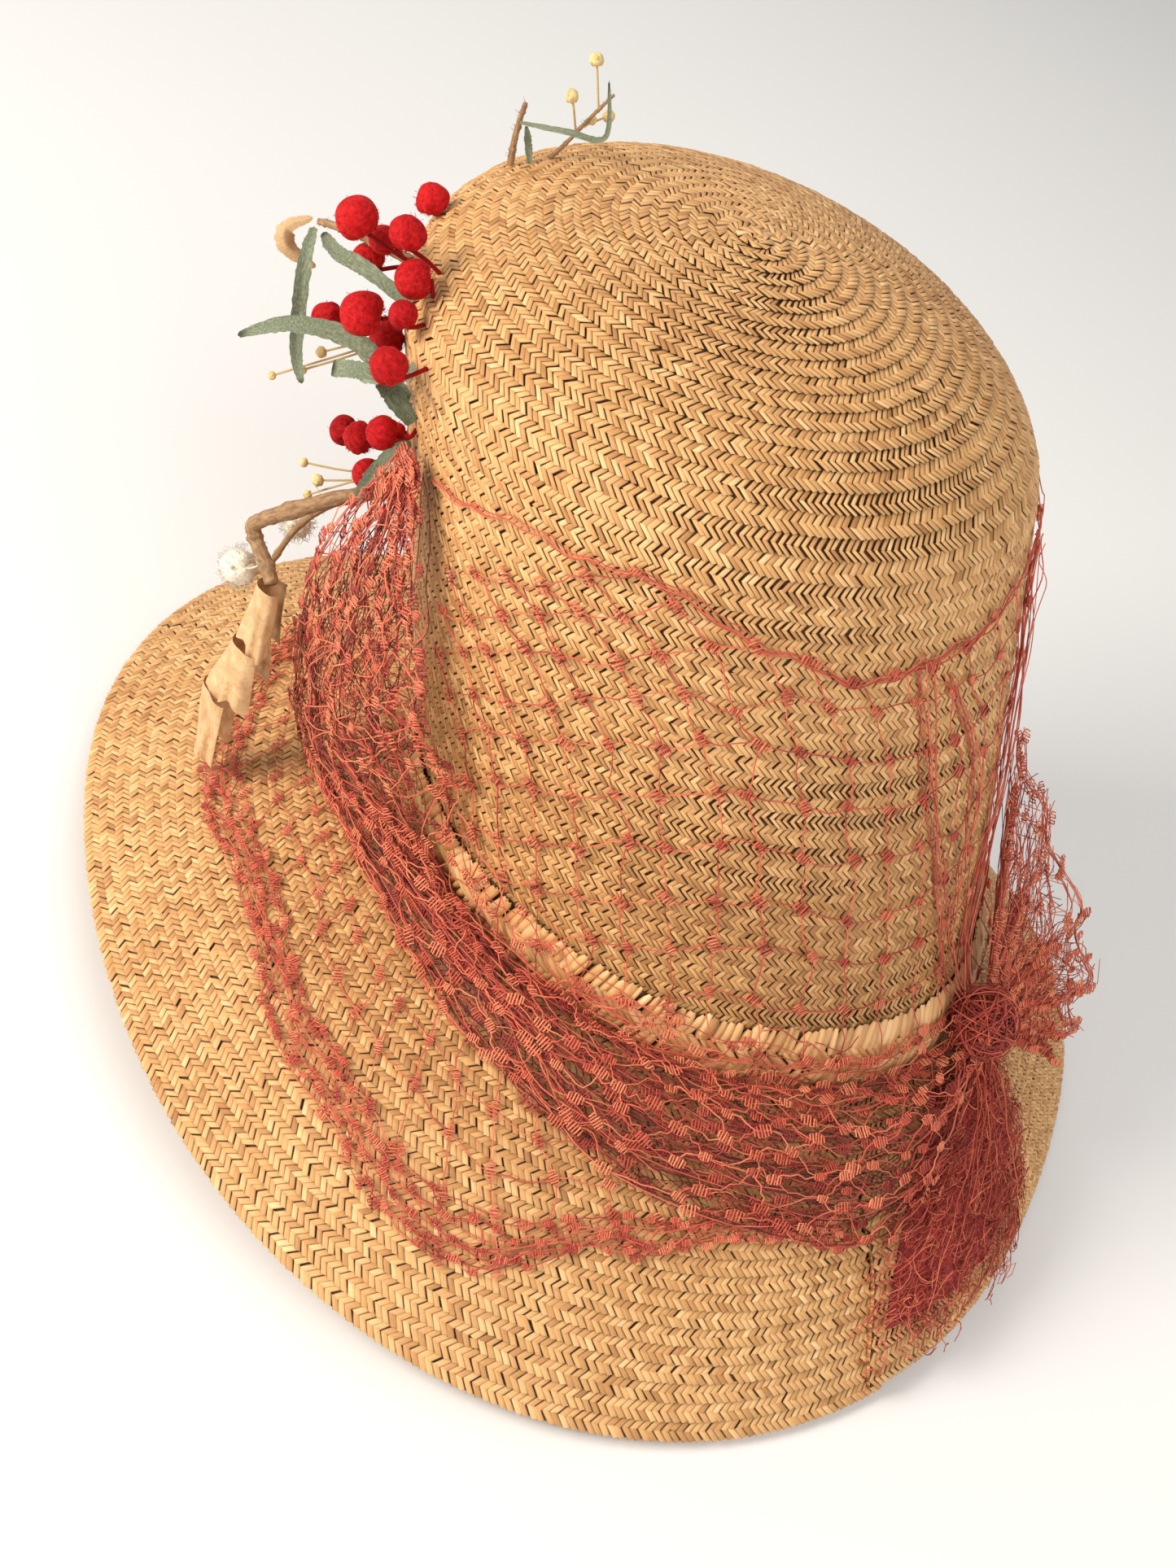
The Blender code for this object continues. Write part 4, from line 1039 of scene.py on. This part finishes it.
def knot_core(u, v):
    """Middle of the knot, painted dark as the shade inside it."""
    turn, rise = 2 * np.pi * u, np.pi * (v - 0.5)
    radius = KNOT_RADIUS * 0.72 * (1 + 0.10 * np.cos(6 * turn) * np.cos(rise))
    outward = np.stack([np.cos(turn) * np.cos(rise), np.sin(turn) * np.cos(rise), np.sin(rise)], -1)
    return knot_centre + outward * radius[..., None]


build_sheet("veil_knot_core", 28, 16, knot_core, painted_net_shadow, ["veil_knot"], "veil_net")

fan_edge = np.array([(-out, -forward, up) for out, forward, up in FAN_EDGE]) * FAN_REACH
fan_face = np.array((-0.45, 0.75, 0.45))


def fan_place(u, v, lift):
    """Place of the fan: v goes from the knot to its outer edge."""
    outer = follow(fan_edge, np.clip(u, 0, 1))
    start = unit(outer) * KNOT_RADIUS * 0.7
    pleat = 0.0030 * v * np.cos(2 * np.pi * 5 * u) + lift
    return knot_centre + start + (outer - start) * v[..., None] + fan_face * pleat[..., None]


count, steps = FAN_STRANDS, 10
v = np.linspace(0, 1, steps)[None] * rng.uniform(0.55, 1.06, (count, 1))
u = rng.uniform(0.0, 1.0, (count, 1)) + wander(rng, count, steps, 6, 0.03) * v * 1.6
drift = wander(rng, count, steps, 5, 0.0018) * v
fan_sets = [spin_threads(fan_place(u, v, drift), 0.00015, rng.uniform(0.25, 0.85, count))]
for layer in range(2):
    knots, links = diamond_net(8, 9, rng, 0.26)
    fan_sets += tie_net(lambda u, v, lift: fan_place(u, 0.10 + 0.90 * v, lift + 0.0016 * layer), knots, links,
                        rng, (0.55, 0.98), 0.00018, (0.0, 0.02), 0.0009, 0.9)
fan_sets.append(edge_threads(lambda along, offset, lift: fan_place(along, 0.97 + offset, lift),
                             4, 90, rng, (0.4, 0.85), 0.012))
veil_fan = build_threads("veil_fan_net", fan_sets, veil_thread, ["veil_fan"], "veil_net")


def tail_place(along, aside, lift):
    """Place in the bush: along it from the knot, and aside from its middle, -1 to 1."""
    middle = TAIL_BEARINGS[0] + (TAIL_BEARINGS[1] - TAIL_BEARINGS[0]) * along
    spread = TAIL_HALF_SPREADS[0] + (TAIL_HALF_SPREADS[1] - TAIL_HALF_SPREADS[0]) * along
    full = np.sin(np.pi * np.clip(along * 0.64 + 0.19, 0, 1)) ** 0.5
    share = TAIL_SHARES[0] + (TAIL_SHARES[1] - TAIL_SHARES[0]) * along
    return off_face(brim_point, middle + spread * full * aside, share, lift)


count, steps = TAIL_CURLS, 13
grown = np.linspace(0, 1, steps)[None]
turns = rng.uniform(0.5, 2.3, (count, 1))
curl = grown * 2 * np.pi * turns * rng.choice((-1, 1), (count, 1)) + rng.uniform(0, 6.3, (count, 1))
loop = rng.uniform(0.3, 1.3, (count, 1))
aside = rng.uniform(-0.95, 0.95, (count, 1)) + grown * rng.uniform(-0.30, 0.30, (count, 1))
aside = aside + 0.075 * loop * np.sin(curl)
along = rng.uniform(0, 1.02, (count, 1)) + grown * rng.uniform(-0.10, 0.16, (count, 1))
along = np.clip(along + 0.034 * loop * np.cos(curl), -0.1, 1.10)
dome = np.sqrt(np.clip(1 - np.minimum(np.abs(aside), 1) ** 2, 0.03, 1)) * (1 - 0.45 * np.clip(along, 0, 1))
lift = 0.0010 + TAIL_THICKNESS * dome * rng.uniform(0.1, 1.05, (count, 1)) * (0.35 + 0.65 * grown)
lift += 0.0011 * loop * (1 + np.sin(1.3 * curl))
tail_sets = [spin_threads(tail_place(along, aside, lift), 0.00014, rng.uniform(0.25, 0.95, count))]
count, steps = TAIL_STRANDS, 26
grown = np.linspace(0, 1, steps)[None]
along = grown * rng.uniform(0.45, 1.02, (count, 1)) - 0.02
aside = rng.uniform(-0.9, 0.9, (count, 1)) * (0.25 + 0.75 * grown) + wander(rng, count, steps, 10, 0.035)
dome = np.sqrt(np.clip(1 - np.minimum(np.abs(aside), 1) ** 2, 0.03, 1)) * (1 - 0.45 * along)
loose = tail_place(along, aside, 0.0014 + TAIL_THICKNESS * dome * rng.uniform(0.6, 1.1, (count, 1)))
hold = smooth(1 - grown / 0.22)[..., None]
loose = loose * (1 - hold) + (knot_centre + unit(rng.normal(0, 1, (count, 1, 3))) * KNOT_RADIUS * 0.9) * hold
tail_sets.append(spin_threads(loose, 0.00019, rng.uniform(0.35, 0.85, count)))
veil_tail = build_threads("veil_tail_net", tail_sets, veil_thread, ["veil_tail"], "veil_net")
def tail_core(u, v):
    """Uneven mound inside the bush, painted dark as the shade under its curls."""
    uneven = 1 + 0.25 * np.sin(23 * u + 9 * v) * np.sin(17 * v)
    mound = 0.42 * TAIL_THICKNESS * np.sin(np.pi * u) * (1 - 0.45 * v) * uneven
    return tail_place(0.04 + 0.90 * v, 1.7 * (u - 0.5), 0.0010 + mound)


build_sheet("veil_tail_core", 30, 24, tail_core, painted_net_shadow, ["veil_tail"], "veil_net")


# Berries: velvet-covered balls on thin stems, gathered in pleats at the stem, with a short fuzz
# that is thickest underneath. They crowd together on the left of the crown.
SPRAY_REACH = 0.0400
BERRY_RADIUS = 0.0050
# Berries: bearing, height share, stand-off share, radius share
BERRIES = (
    (8, 1.20, 0.51, 1.00), (14, 1.28, 0.34, 0.84), (4, 1.17, 0.25, 0.72), (-8, 1.26, 0.12, 0.80),
    (18, 1.23, 0.18, 0.90), (-2, 1.05, 0.27, 0.80), (13, 1.05, 0.28, 1.06), (4, 0.96, 0.49, 0.80),
    (21, 1.15, 0.16, 0.68), (27, 1.06, 0.25, 0.90), (8, 0.95, 0.12, 0.86), (0, 0.71, 0.45, 0.72),
    (12, 0.79, 0.32, 0.80), (20, 0.86, 0.22, 0.78), (10, 0.70, 0.28, 0.76), (8, 0.76, 0.12, 0.80),
)
FUZZ_HAIRS = 114
FUZZ_LENGTH = 0.00055
HAIR_RADIUS = 0.00006


def spray_point(place):
    """Point of the spray from its bearing, height share and stand-off share."""
    bearing, share, off = place
    return at_crown(bearing, share, np.float64(off) * SPRAY_REACH)


def loft(path, face, wide, deep, tone, sides=12):
    """Closed body round a path: half widths across the path and half depths towards face."""
    path = np.asarray(path, float)
    ahead = unit(np.gradient(path, axis=0))
    side = unit(np.cross(ahead, face))
    up = np.cross(side, ahead)
    wide, deep = (np.broadcast_to(np.asarray(size, float).reshape(len(size), -1), (len(path), sides))
                  for size in (wide, deep))
    turn = np.arange(sides) * 2 * np.pi / sides
    ring = (path[:, None] + side[:, None] * (wide * np.cos(turn))[..., None]
            + up[:, None] * (deep * np.sin(turn))[..., None])
    first = np.arange(len(path) - 1)[:, None] * sides
    near = first + np.arange(sides)
    far = first + (np.arange(sides) + 1) % sides
    faces = np.stack([near, far, far + sides, near + sides], -1).reshape(-1, 4)
    length = np.linalg.norm(np.diff(path, axis=0, prepend=path[:1]), axis=1).cumsum() * 1000
    round_about = np.broadcast_to(1 - abs(turn / np.pi - 1), ring.shape[:2])
    fibre = np.stack([np.repeat(length[:, None], sides, 1), round_about], -1)
    return ring.reshape(-1, 3), faces, np.full(ring.shape[0] * sides, tone), fibre.reshape(-1, 2)


def mottled(name, roughness, scale, stretch, stops, depth, sheen=None):
    """Material whose colours follow a noise along and across its fibre map, shifted by its tone."""
    made, tree, shader = start_material(name, roughness)
    tone = add_node(tree, "Attribute", attribute_name="tone")
    fibre_map = add_node(tree, "UVMap", uv_map="fibre")
    apart = add_node(tree, "CombineXYZ", {"X": compute(tree, "MULTIPLY", tone.outputs["Fac"], 37.0)})
    moved = add_node(tree, "VectorMath", {0: fibre_map.outputs["UV"], 1: apart.outputs["Vector"]},
                     operation="ADD")
    spread = add_node(tree, "VectorMath", {0: moved.outputs[0], 1: (*stretch, 1.0)}, operation="MULTIPLY")
    noise = add_node(tree, "TexNoise", {
        "Vector": spread.outputs[0], "Scale": scale, "Detail": 5.0, "Roughness": 0.6})
    lowered = compute(tree, "SUBTRACT", noise.outputs["Fac"], 0.30)
    value = compute(tree, "MULTIPLY_ADD", tone.outputs["Fac"], 0.6, lowered)
    tree.links.new(add_ramp(tree, value, stops), shader.inputs["Base Color"])
    add_bump(tree, shader, noise.outputs["Fac"], depth, 0.8)
    if sheen:
        set_inputs(shader, {"Sheen Weight": 0.3, "Specular IOR Level": 0.15, "Sheen Roughness": 0.35,
                            "Sheen Tint": (*sheen, 1)})
    return made


def ball(centre, axis, radius, rng, pleats, tone, low=0.12, sides=30):
    """Uneven ball with pleats that gather at the pole towards minus axis."""
    polar = np.linspace(0.03, np.pi - 0.03, 20)
    turn = np.arange(sides) * 2 * np.pi / sides
    gather = smooth((polar - 1.5) / 1.2)[:, None]
    shape = 1 + (0.05 + 0.15 * gather) * np.cos(pleats * turn + rng.uniform(0, 6))
    for wave in range(4):
        uneven = low * rng.normal(0, 0.5) * np.cos((wave % 3 + 1) * turn + rng.uniform(0, 6))
        shape = shape + uneven * np.sin(polar * (1 + wave // 2))[:, None]
    shape = shape * (1 - 0.22 * smooth((polar - 2.5) / 0.6)[:, None])
    along = np.cos(polar)[:, None] * shape
    path = centre + axis * np.cos(polar)[:, None] * radius * np.mean(shape, 1, keepdims=True)
    size = np.sin(polar)[:, None] * shape * radius
    return loft(path, (0.3, 0.9, 0.2), size, size, tone, sides=sides)


def fuzz(centre, radius, count, length, rng, tones, side, lean=0.8):
    """Short hairs that stand on a ball, most of them on one side."""
    out = unit(rng.normal(0, 1, (count, 3)) + side)
    bend = unit(np.cross(out, unit(rng.normal(0, 1, (count, 3)))))
    reach = length * rng.uniform(0.4, 1.2, (count, 1))
    path = np.stack([centre + out * radius * 0.96,
                     centre + out * (radius + reach * 0.6) + bend * reach * 0.3 * lean,
                     centre + out * (radius + reach) + bend * reach * lean], 1)
    return spin_threads(path, HAIR_RADIUS, rng.uniform(*tones, count))


velvet = mottled("velvet", 0.62, 1.1, (0.9, 9.0), [
    (0.10, (0.07, 0.001, 0.001)), (0.90, (0.78, 0.014, 0.016)), (0.45, (0.34, 0.002, 0.004))],
    0.0007, (1.0, 0.06, 0.05))
STEM_RADIUS = 0.00055
rng = np.random.default_rng(51)
bodies, hairs = [], []
berry_nodes = [f"berry_{number:02d}" for number in range(1, len(BERRIES) + 1)]
for bearing, height, off, size in BERRIES:
    radius = BERRY_RADIUS * size
    seat = at_crown(bearing, height, CLEARANCE)
    centre = at_crown(bearing, height, max(off * SPRAY_REACH, radius + 2 * CLEARANCE))
    axis = unit(centre - seat + rng.normal(0, 0.006, 3) + np.array((0.004, 0.0, 0.006)))
    bodies.append(ball(centre, axis, radius, rng, rng.integers(7, 11), rng.uniform(0.35, 0.75)))
    foot = centre - axis * radius * 0.9
    bow = np.cross(axis, (0, 0, 1)) * rng.uniform(-0.003, 0.003)
    stem = follow([foot, (foot + seat) / 2 + bow, seat], np.linspace(0, 1, 9))
    bodies.append(loft(stem, (0, 0.8, 0.6), np.full(9, STEM_RADIUS), np.full(9, STEM_RADIUS), 0.35, sides=6))
    # The hairs are paler than the ball, as painted sheen where the fuzz catches the light
    hairs.append(fuzz(centre, radius, FUZZ_HAIRS, FUZZ_LENGTH, rng, (0.45, 1.0), -axis * 1.1))
build_threads("berries", bodies, velvet, berry_nodes, "berry_velvet")
build_threads("berry_fuzz", hairs, velvet, berry_nodes, "berry_velvet")


# Leaves: narrow grey-green velvet leaves with a crease along the middle, uneven edges and dark
# tips, which rise from the spray or hang below its twig.
LEAVES = (
    ("leaf_long", 0.0046, ((19, 0.91, 0.035), (12, 0.97, 0.30), (8, 0.98, 0.68), (8, 0.96, 1.02))),
    ("leaf_cut", 0.0044, ((24, 1.00, 0.035), (20, 0.97, 0.24), (17, 0.96, 0.34), (15, 0.95, 0.47))),
    ("leaf_dark", 0.0050, ((21, 0.88, 0.035), (20, 0.91, 0.10), (18, 0.935, 0.17), (17, 0.95, 0.21))),
    ("leaf_fork", 0.0044, ((15, 1.13, 0.025), (10, 1.13, 0.31), (6, 1.11, 0.47), (4, 1.12, 0.58))),
    ("leaf_hanging", 0.0036, ((-3, 1.078, 0.63), (1, 1.03, 0.64), (4, 0.90, 0.69), (6, 0.85, 0.66))),
    ("leaf_low", 0.0040, ((19, 0.83, 0.035), (17.5, 0.79, 0.17), (16, 0.73, 0.30), (14, 0.67, 0.38))),
    ("top_leaf", 0.0015, ((-23.8, 1.472, 0.29), (-26, 1.58, 0.23), (-29, 1.66, 0.22), (-29, 1.66, 0.56))),
    ("top_blade", 0.0018, ((-26, 1.47, 0.012), (-26, 1.475, 0.12), (-25.5, 1.48, 0.20), (-25.5, 1.48, 0.25))),
)
TRIMS_FACE = (0.16, 0.74, 0.65)
END_HALF_WIDTH = 0.00005


BLADE_COLUMNS = 9


def blade(path, face, half, fold, rng):
    """Narrow sheet along a path, folded along its middle, with uneven edges and a slight twist."""
    steps = len(path)
    ahead = unit(np.gradient(path, axis=0))
    side = unit(np.cross(ahead, face))
    up = np.cross(side, ahead)
    across = np.linspace(-1, 1, BLADE_COLUMNS)
    uneven = 0.06 * rng.normal(0, 1, (steps, BLADE_COLUMNS)) * np.abs(across) ** 3
    wide = half[:, None] * across * (1 + uneven)
    twist = 0.25 * wander(rng, 1, steps, 5, 0.5)[0][:, None] * across
    rise = half[:, None] * (fold * (np.abs(across) - 0.5) + twist)
    points = path[:, None] + side[:, None] * wide[..., None] + up[:, None] * rise[..., None]
    length = np.linalg.norm(np.diff(path, axis=0, prepend=path[:1]), axis=1).cumsum() * 1000
    fibre = np.stack([np.repeat(length[:, None], BLADE_COLUMNS, 1),
                      np.broadcast_to(across / 2 + 0.5, (steps, BLADE_COLUMNS))], -1)
    faces = grid_quads(steps, BLADE_COLUMNS)
    return points.reshape(-1, 3), faces, np.full(steps * BLADE_COLUMNS, 0.5), fibre.reshape(-1, 2)


leaf_velvet = mottled("leaf_velvet", 0.85, 1.4, (1.0, 5.0), [
    (0.04, (0.020, 0.018, 0.010)), (0.95, (0.40, 0.44, 0.31)), (0.22, (0.070, 0.080, 0.048)),
    (0.55, (0.180, 0.205, 0.132))], 0.0003, (0.75, 0.80, 0.65))
rng = np.random.default_rng(52)
steps, hairs = 44, 150
share = np.linspace(0, 1, steps)
for name, width, places in LEAVES:
    path = follow([spray_point(place) for place in places], share)
    half = width / 2 * np.maximum(np.sin(np.pi * (0.10 + 0.87 * share)) ** 0.6, 0.10)
    half = half * (1 + 0.05 * wander(rng, 1, steps, 14, 1.0)[0])
    if name == "leaf_cut":
        half = width / 2 * np.where(share < 0.97, 0.96, 0.75)
    half[[0, -1]] = END_HALF_WIDTH
    points, faces, _, fibre = blade(path, TRIMS_FACE, half, 0.30, rng)
    tone = 0.62 + 0.08 * np.sin(9 * share) - 0.75 * smooth((share - 0.90) / 0.10)
    tone = tone - 0.30 * (name == "leaf_dark")
    tips = points[rng.integers(0, len(points), hairs)]
    nap = np.stack([tips, tips + rng.normal(0, 0.00016, tips.shape)], 1)
    body = (points, faces, np.repeat(tone, BLADE_COLUMNS), fibre)
    build_threads(name, [body, spin_threads(nap, 0.00004, np.full(hairs, 0.85))], leaf_velvet,
                  [name], "dried_leaf")


# Twigs: dried twigs with knuckles and frayed bark. The thick one stands out level and turns down
# over the petals; a thin one crosses it, and a small sprig stands on the far side of the dome.
TWIGS = (
    ("twig_thick", 0.0021, 0.0019, ((8, 0.655, 0.02), (7, 0.62, 0.52), (4, 0.55, 1.00), (4, 0.52, 1.04),
                                    (6, 0.48, 0.97), (8, 0.455, 0.93))),
    ("twig_thin", 0.0011, 0.0008, ((0, 0.62, 0.02), (0, 0.56, 0.50), (-1, 0.49, 0.80), (-1, 0.38, 1.06))),
    ("twig_brown", 0.0014, 0.0008, ((0, 1.11, 0.01), (-1, 1.11, 0.30), (-2, 1.10, 0.50), (-3, 1.09, 0.62))),
    ("top_twig", 0.0010, 0.0006, ((-25, 1.41, 0.01), (-25, 1.45, 0.20), (-25, 1.49, 0.40))),
    ("top_stem", 0.0006, 0.0004, ((-31, 1.50, 0.01), (-32, 1.55, 0.12), (-33, 1.59, 0.24),
                                  (-35, 1.65, 0.45))),
)
bark = mottled("bark", 0.75, 0.9, (0.5, 7.0), [
    (0.05, (0.045, 0.022, 0.010)), (0.95, (0.62, 0.42, 0.24)), (0.30, (0.17, 0.085, 0.038)),
    (0.60, (0.40, 0.235, 0.110))], 0.0004)
rng = np.random.default_rng(53)
steps, frays = 60, 46
share = np.linspace(0, 1, steps)
for name, thick, thin, places in TWIGS:
    points = [spray_point(place) for place in places]
    drift = np.stack([wander(rng, 1, steps, 12, thick * 0.05)[0] for _ in range(3)], -1)
    path = follow(points, share) + drift
    radius = thick + (thin - thick) * share
    for knuckle in (0.30, 0.62, 0.83):
        radius = radius * (1 + 0.28 * np.exp(-((share - knuckle) / 0.018) ** 2))
    rough = radius[:, None] * (1 + rng.normal(0, 0.045, (steps, 12)))
    rough[[0, -1]] = END_HALF_WIDTH
    bodies = [loft(path, (0.3, 0.1, 0.95), rough, rough, rng.uniform(0.42, 0.62))]
    frayed = rng.choice(steps - 2, frays) + 1
    out = unit(rng.normal(0, 1, (frays, 3)))
    reach = thick * rng.uniform(0.3, 1.0, (frays, 1))
    from_bark = radius[frayed, None]
    fibres = np.stack([path[frayed] + out * from_bark * 0.8,
                       path[frayed] + out * (from_bark + reach * 0.6),
                       path[frayed] + out * (from_bark + reach) + reach * 0.4], 1)
    bodies.append(spin_threads(fibres, 0.00005, rng.uniform(0.3, 0.9, frays)))
    build_threads(name, bodies, bark, [name], "twig_bark")


# Petals: papery tan petals with fine veins, curled into tubes that hang one below the other from the
# thick twig, and a dry curled leaf at the end of the upper twig.
# Piece, half width at the top and low down, length, opening in degrees and step away from the crown
PETALS = (
    ("petal_tube", 0.0037, 0.0052, 0.0200, 60, 0.0000),
    ("petal_roll", 0.0052, 0.0086, 0.0176, 110, 0.0015),
    ("petal_pale", 0.0070, 0.0056, 0.0246, 160, 0.0030),
)
petal_paper, tree, shader = start_material("petal_paper", 0.6)
fibre_map = add_node(tree, "UVMap", uv_map="fibre")
stretched = add_node(tree, "VectorMath", {0: fibre_map.outputs["UV"], 1: (7.0, 3.0, 1.0)},
                     operation="MULTIPLY")
veins = add_node(tree, "TexVoronoi", {"Vector": stretched.outputs[0], "Scale": 1.6},
                 feature="DISTANCE_TO_EDGE")
blotch = add_node(tree, "TexNoise", {
    "Vector": fibre_map.outputs["UV"], "Scale": 4.0, "Detail": 6.0, "Roughness": 0.65})
vein_depth = compute(tree, "MINIMUM", veins.outputs["Distance"], 0.10)
paper = compute(tree, "MULTIPLY_ADD", vein_depth, 1.0, blotch.outputs["Fac"])
tan = add_ramp(tree, compute(tree, "SUBTRACT", paper, 0.25), [
    (0.05, (0.42, 0.22, 0.090)), (0.80, (0.82, 0.61, 0.37)), (0.30, (0.58, 0.36, 0.170)),
    (0.50, (0.71, 0.49, 0.270))])
tree.links.new(tan, shader.inputs["Base Color"])
add_bump(tree, shader, paper, 0.0003, 0.9)
set_inputs(shader, {"Subsurface Weight": 0.25, "Subsurface Radius": (0.004, 0.002, 0.001)})
rng = np.random.default_rng(54)
down, out = np.array((0.0, 0.0, -1.0)), towards(6)
side = np.cross(down, out)
top = spray_point(TWIGS[0][3][-1]) + down * 0.0010
for name, wide, low, length, opening, shift in PETALS:
    top = top + out * shift
    phase = rng.uniform(0, 6, 4)

    def place_petal(u, v):
        turn = np.radians(opening / 2 + (360 - opening) * u + 200)
        ruffle = (0.12 * np.sin(3 * turn) + 0.05 * v * np.sin(11 * turn + phase[2])
                  + 0.07 * v * np.sin(7 * turn + phase[0]) + 0.05 * np.sin(4 * turn + 5 * v + phase[1]))
        radius = (wide + (low - wide) * v) * (1 + ruffle)
        ragged = v * (1 + 0.09 * np.sin(9 * u + phase[2]) + 0.05 * np.sin(23 * u + phase[3]))
        ring = out * np.cos(turn)[..., None] + side * np.sin(turn)[..., None]
        return top + down * (length * ragged)[..., None] + ring * radius[..., None]

    build_sheet(name, 70, 34, place_petal, petal_paper, [name], "papery_petal")
    top = top + down * (length + CLEARANCE)
# Places of the curled leaf, as in the spray
CURL = ((-3.4, 1.09, 0.655), (-4, 1.06, 0.80), (-4, 1.03, 0.78), (-4, 1.00, 0.61))
steps = 40
share = np.linspace(0, 1, steps)
path = follow([spray_point(place) for place in CURL], share)
half = 0.0021 * np.maximum(np.sin(np.pi * (0.02 + 0.94 * share)) ** 0.8, 0.16)
half = half * (1 + 0.06 * wander(rng, 1, steps, 12, 1.0)[0])
half[[0, -1]] = END_HALF_WIDTH
build_threads("curled_leaf", [blade(path, TRIMS_FACE, half * 1.15, -0.7, rng)], petal_paper,
              ["curled_leaf"], "papery_petal")


# Buds: two woolly balls with a dark eye beside the petals, and knobbly dried buds in small clusters
# on thin stalks.
# Piece, radius, place, then where its stalk starts
BUDS = (
    ("bud_woolly_left", 0.0052, (3, 0.44, 1.17), (6, 0.48, 0.97)),
    ("bud_woolly_right", 0.0040, (-6, 0.45, 0.86), (-1, 0.49, 0.80)),
    ("bud_low", 0.0016, (2, 0.62, 0.62), (3, 0.66, 0.05)),
    ("bud_far", 0.0014, (2, 0.88, 0.55), (3, 0.92, 0.05)),
    ("bud_top_1", 0.0018, (-36, 1.60, 0.62), (-34, 1.62, 0.32)),
    ("bud_top_2", 0.0017, (-30, 1.575, 0.42), (-32.5, 1.57, 0.18)),
    ("bud_top_3", 0.0016, (-39, 1.62, 0.28), (-33, 1.59, 0.22)),
)
BUD_NEIGHBOURS = {
    "bud_low": ((0, 0.64, 0.72), (4, 0.60, 0.50), (1, 0.58, 0.70)),
    "bud_far": ((4, 0.86, 0.66), (0, 0.90, 0.50), (3, 0.84, 0.86)),
    "bud_top_3": ((-35, 1.60, 0.26),),
}
STALK_RADIUS = 0.00030
WOOL_HAIRS = 300
WOOL_LENGTH = 0.0016
wool = mottled("wool", 0.9, 2.0, (1.0, 4.0), [
    (0.05, (0.62, 0.50, 0.34)), (0.90, (0.95, 0.90, 0.78)), (0.45, (0.85, 0.76, 0.60))], 0.0006)
seed_skin = mottled("seed_skin", 0.7, 2.2, (1.0, 5.0), [
    (0.05, (0.33, 0.18, 0.05)), (0.90, (0.90, 0.78, 0.42)), (0.45, (0.74, 0.54, 0.22))], 0.0004)
rng = np.random.default_rng(55)
for name, radius, place, start in BUDS:
    woolly = "woolly" in name
    centres = [spray_point(spot) for spot in (place, *BUD_NEIGHBOURS.get(name, ()))]
    foot = spray_point(start)
    bodies = []
    for number, centre in enumerate(centres):
        size = radius * (1.0 if number == 0 else 0.75)
        axis = unit(centre - foot)
        if woolly:
            bodies.append(ball(centre, axis, size * 0.96, rng, 6, rng.uniform(0.4, 0.7), 0.05, 16))
        else:
            bodies.append(ball(centre, axis, size, rng, 6, rng.uniform(0.4, 0.7), 0.14, 16))
            for _ in range(6):
                spot = centre + unit(rng.normal(0, 1, 3)) * size * 0.62
                bodies.append(ball(spot, axis, size * 0.5, rng, 5, rng.uniform(0.3, 0.8), 0.1, 8))
        bend = (foot + centre) / 2 + rng.normal(0, 0.0010, 3)
        stalk = follow([foot, bend, centre], np.linspace(0, 1, 10))
        thick = np.full(10, STALK_RADIUS)
        bodies.append(loft(stalk, (0.2, 0.9, 0.3), thick, thick, 0.3, sides=5))
        if woolly:
            bodies.append(fuzz(centre, size * 0.94, WOOL_HAIRS, WOOL_LENGTH, rng, (0.6, 1.0), 0, 0.9))
            eye = unit(np.array((0.25, 0.75, 0.45)))
            bodies.append(ball(centre + eye * size * 1.02, eye, size * 0.11, rng, 5, -0.4, 0.1, 8))
    build_threads(name, bodies, wool if woolly else seed_skin, [name], "bud_wool")
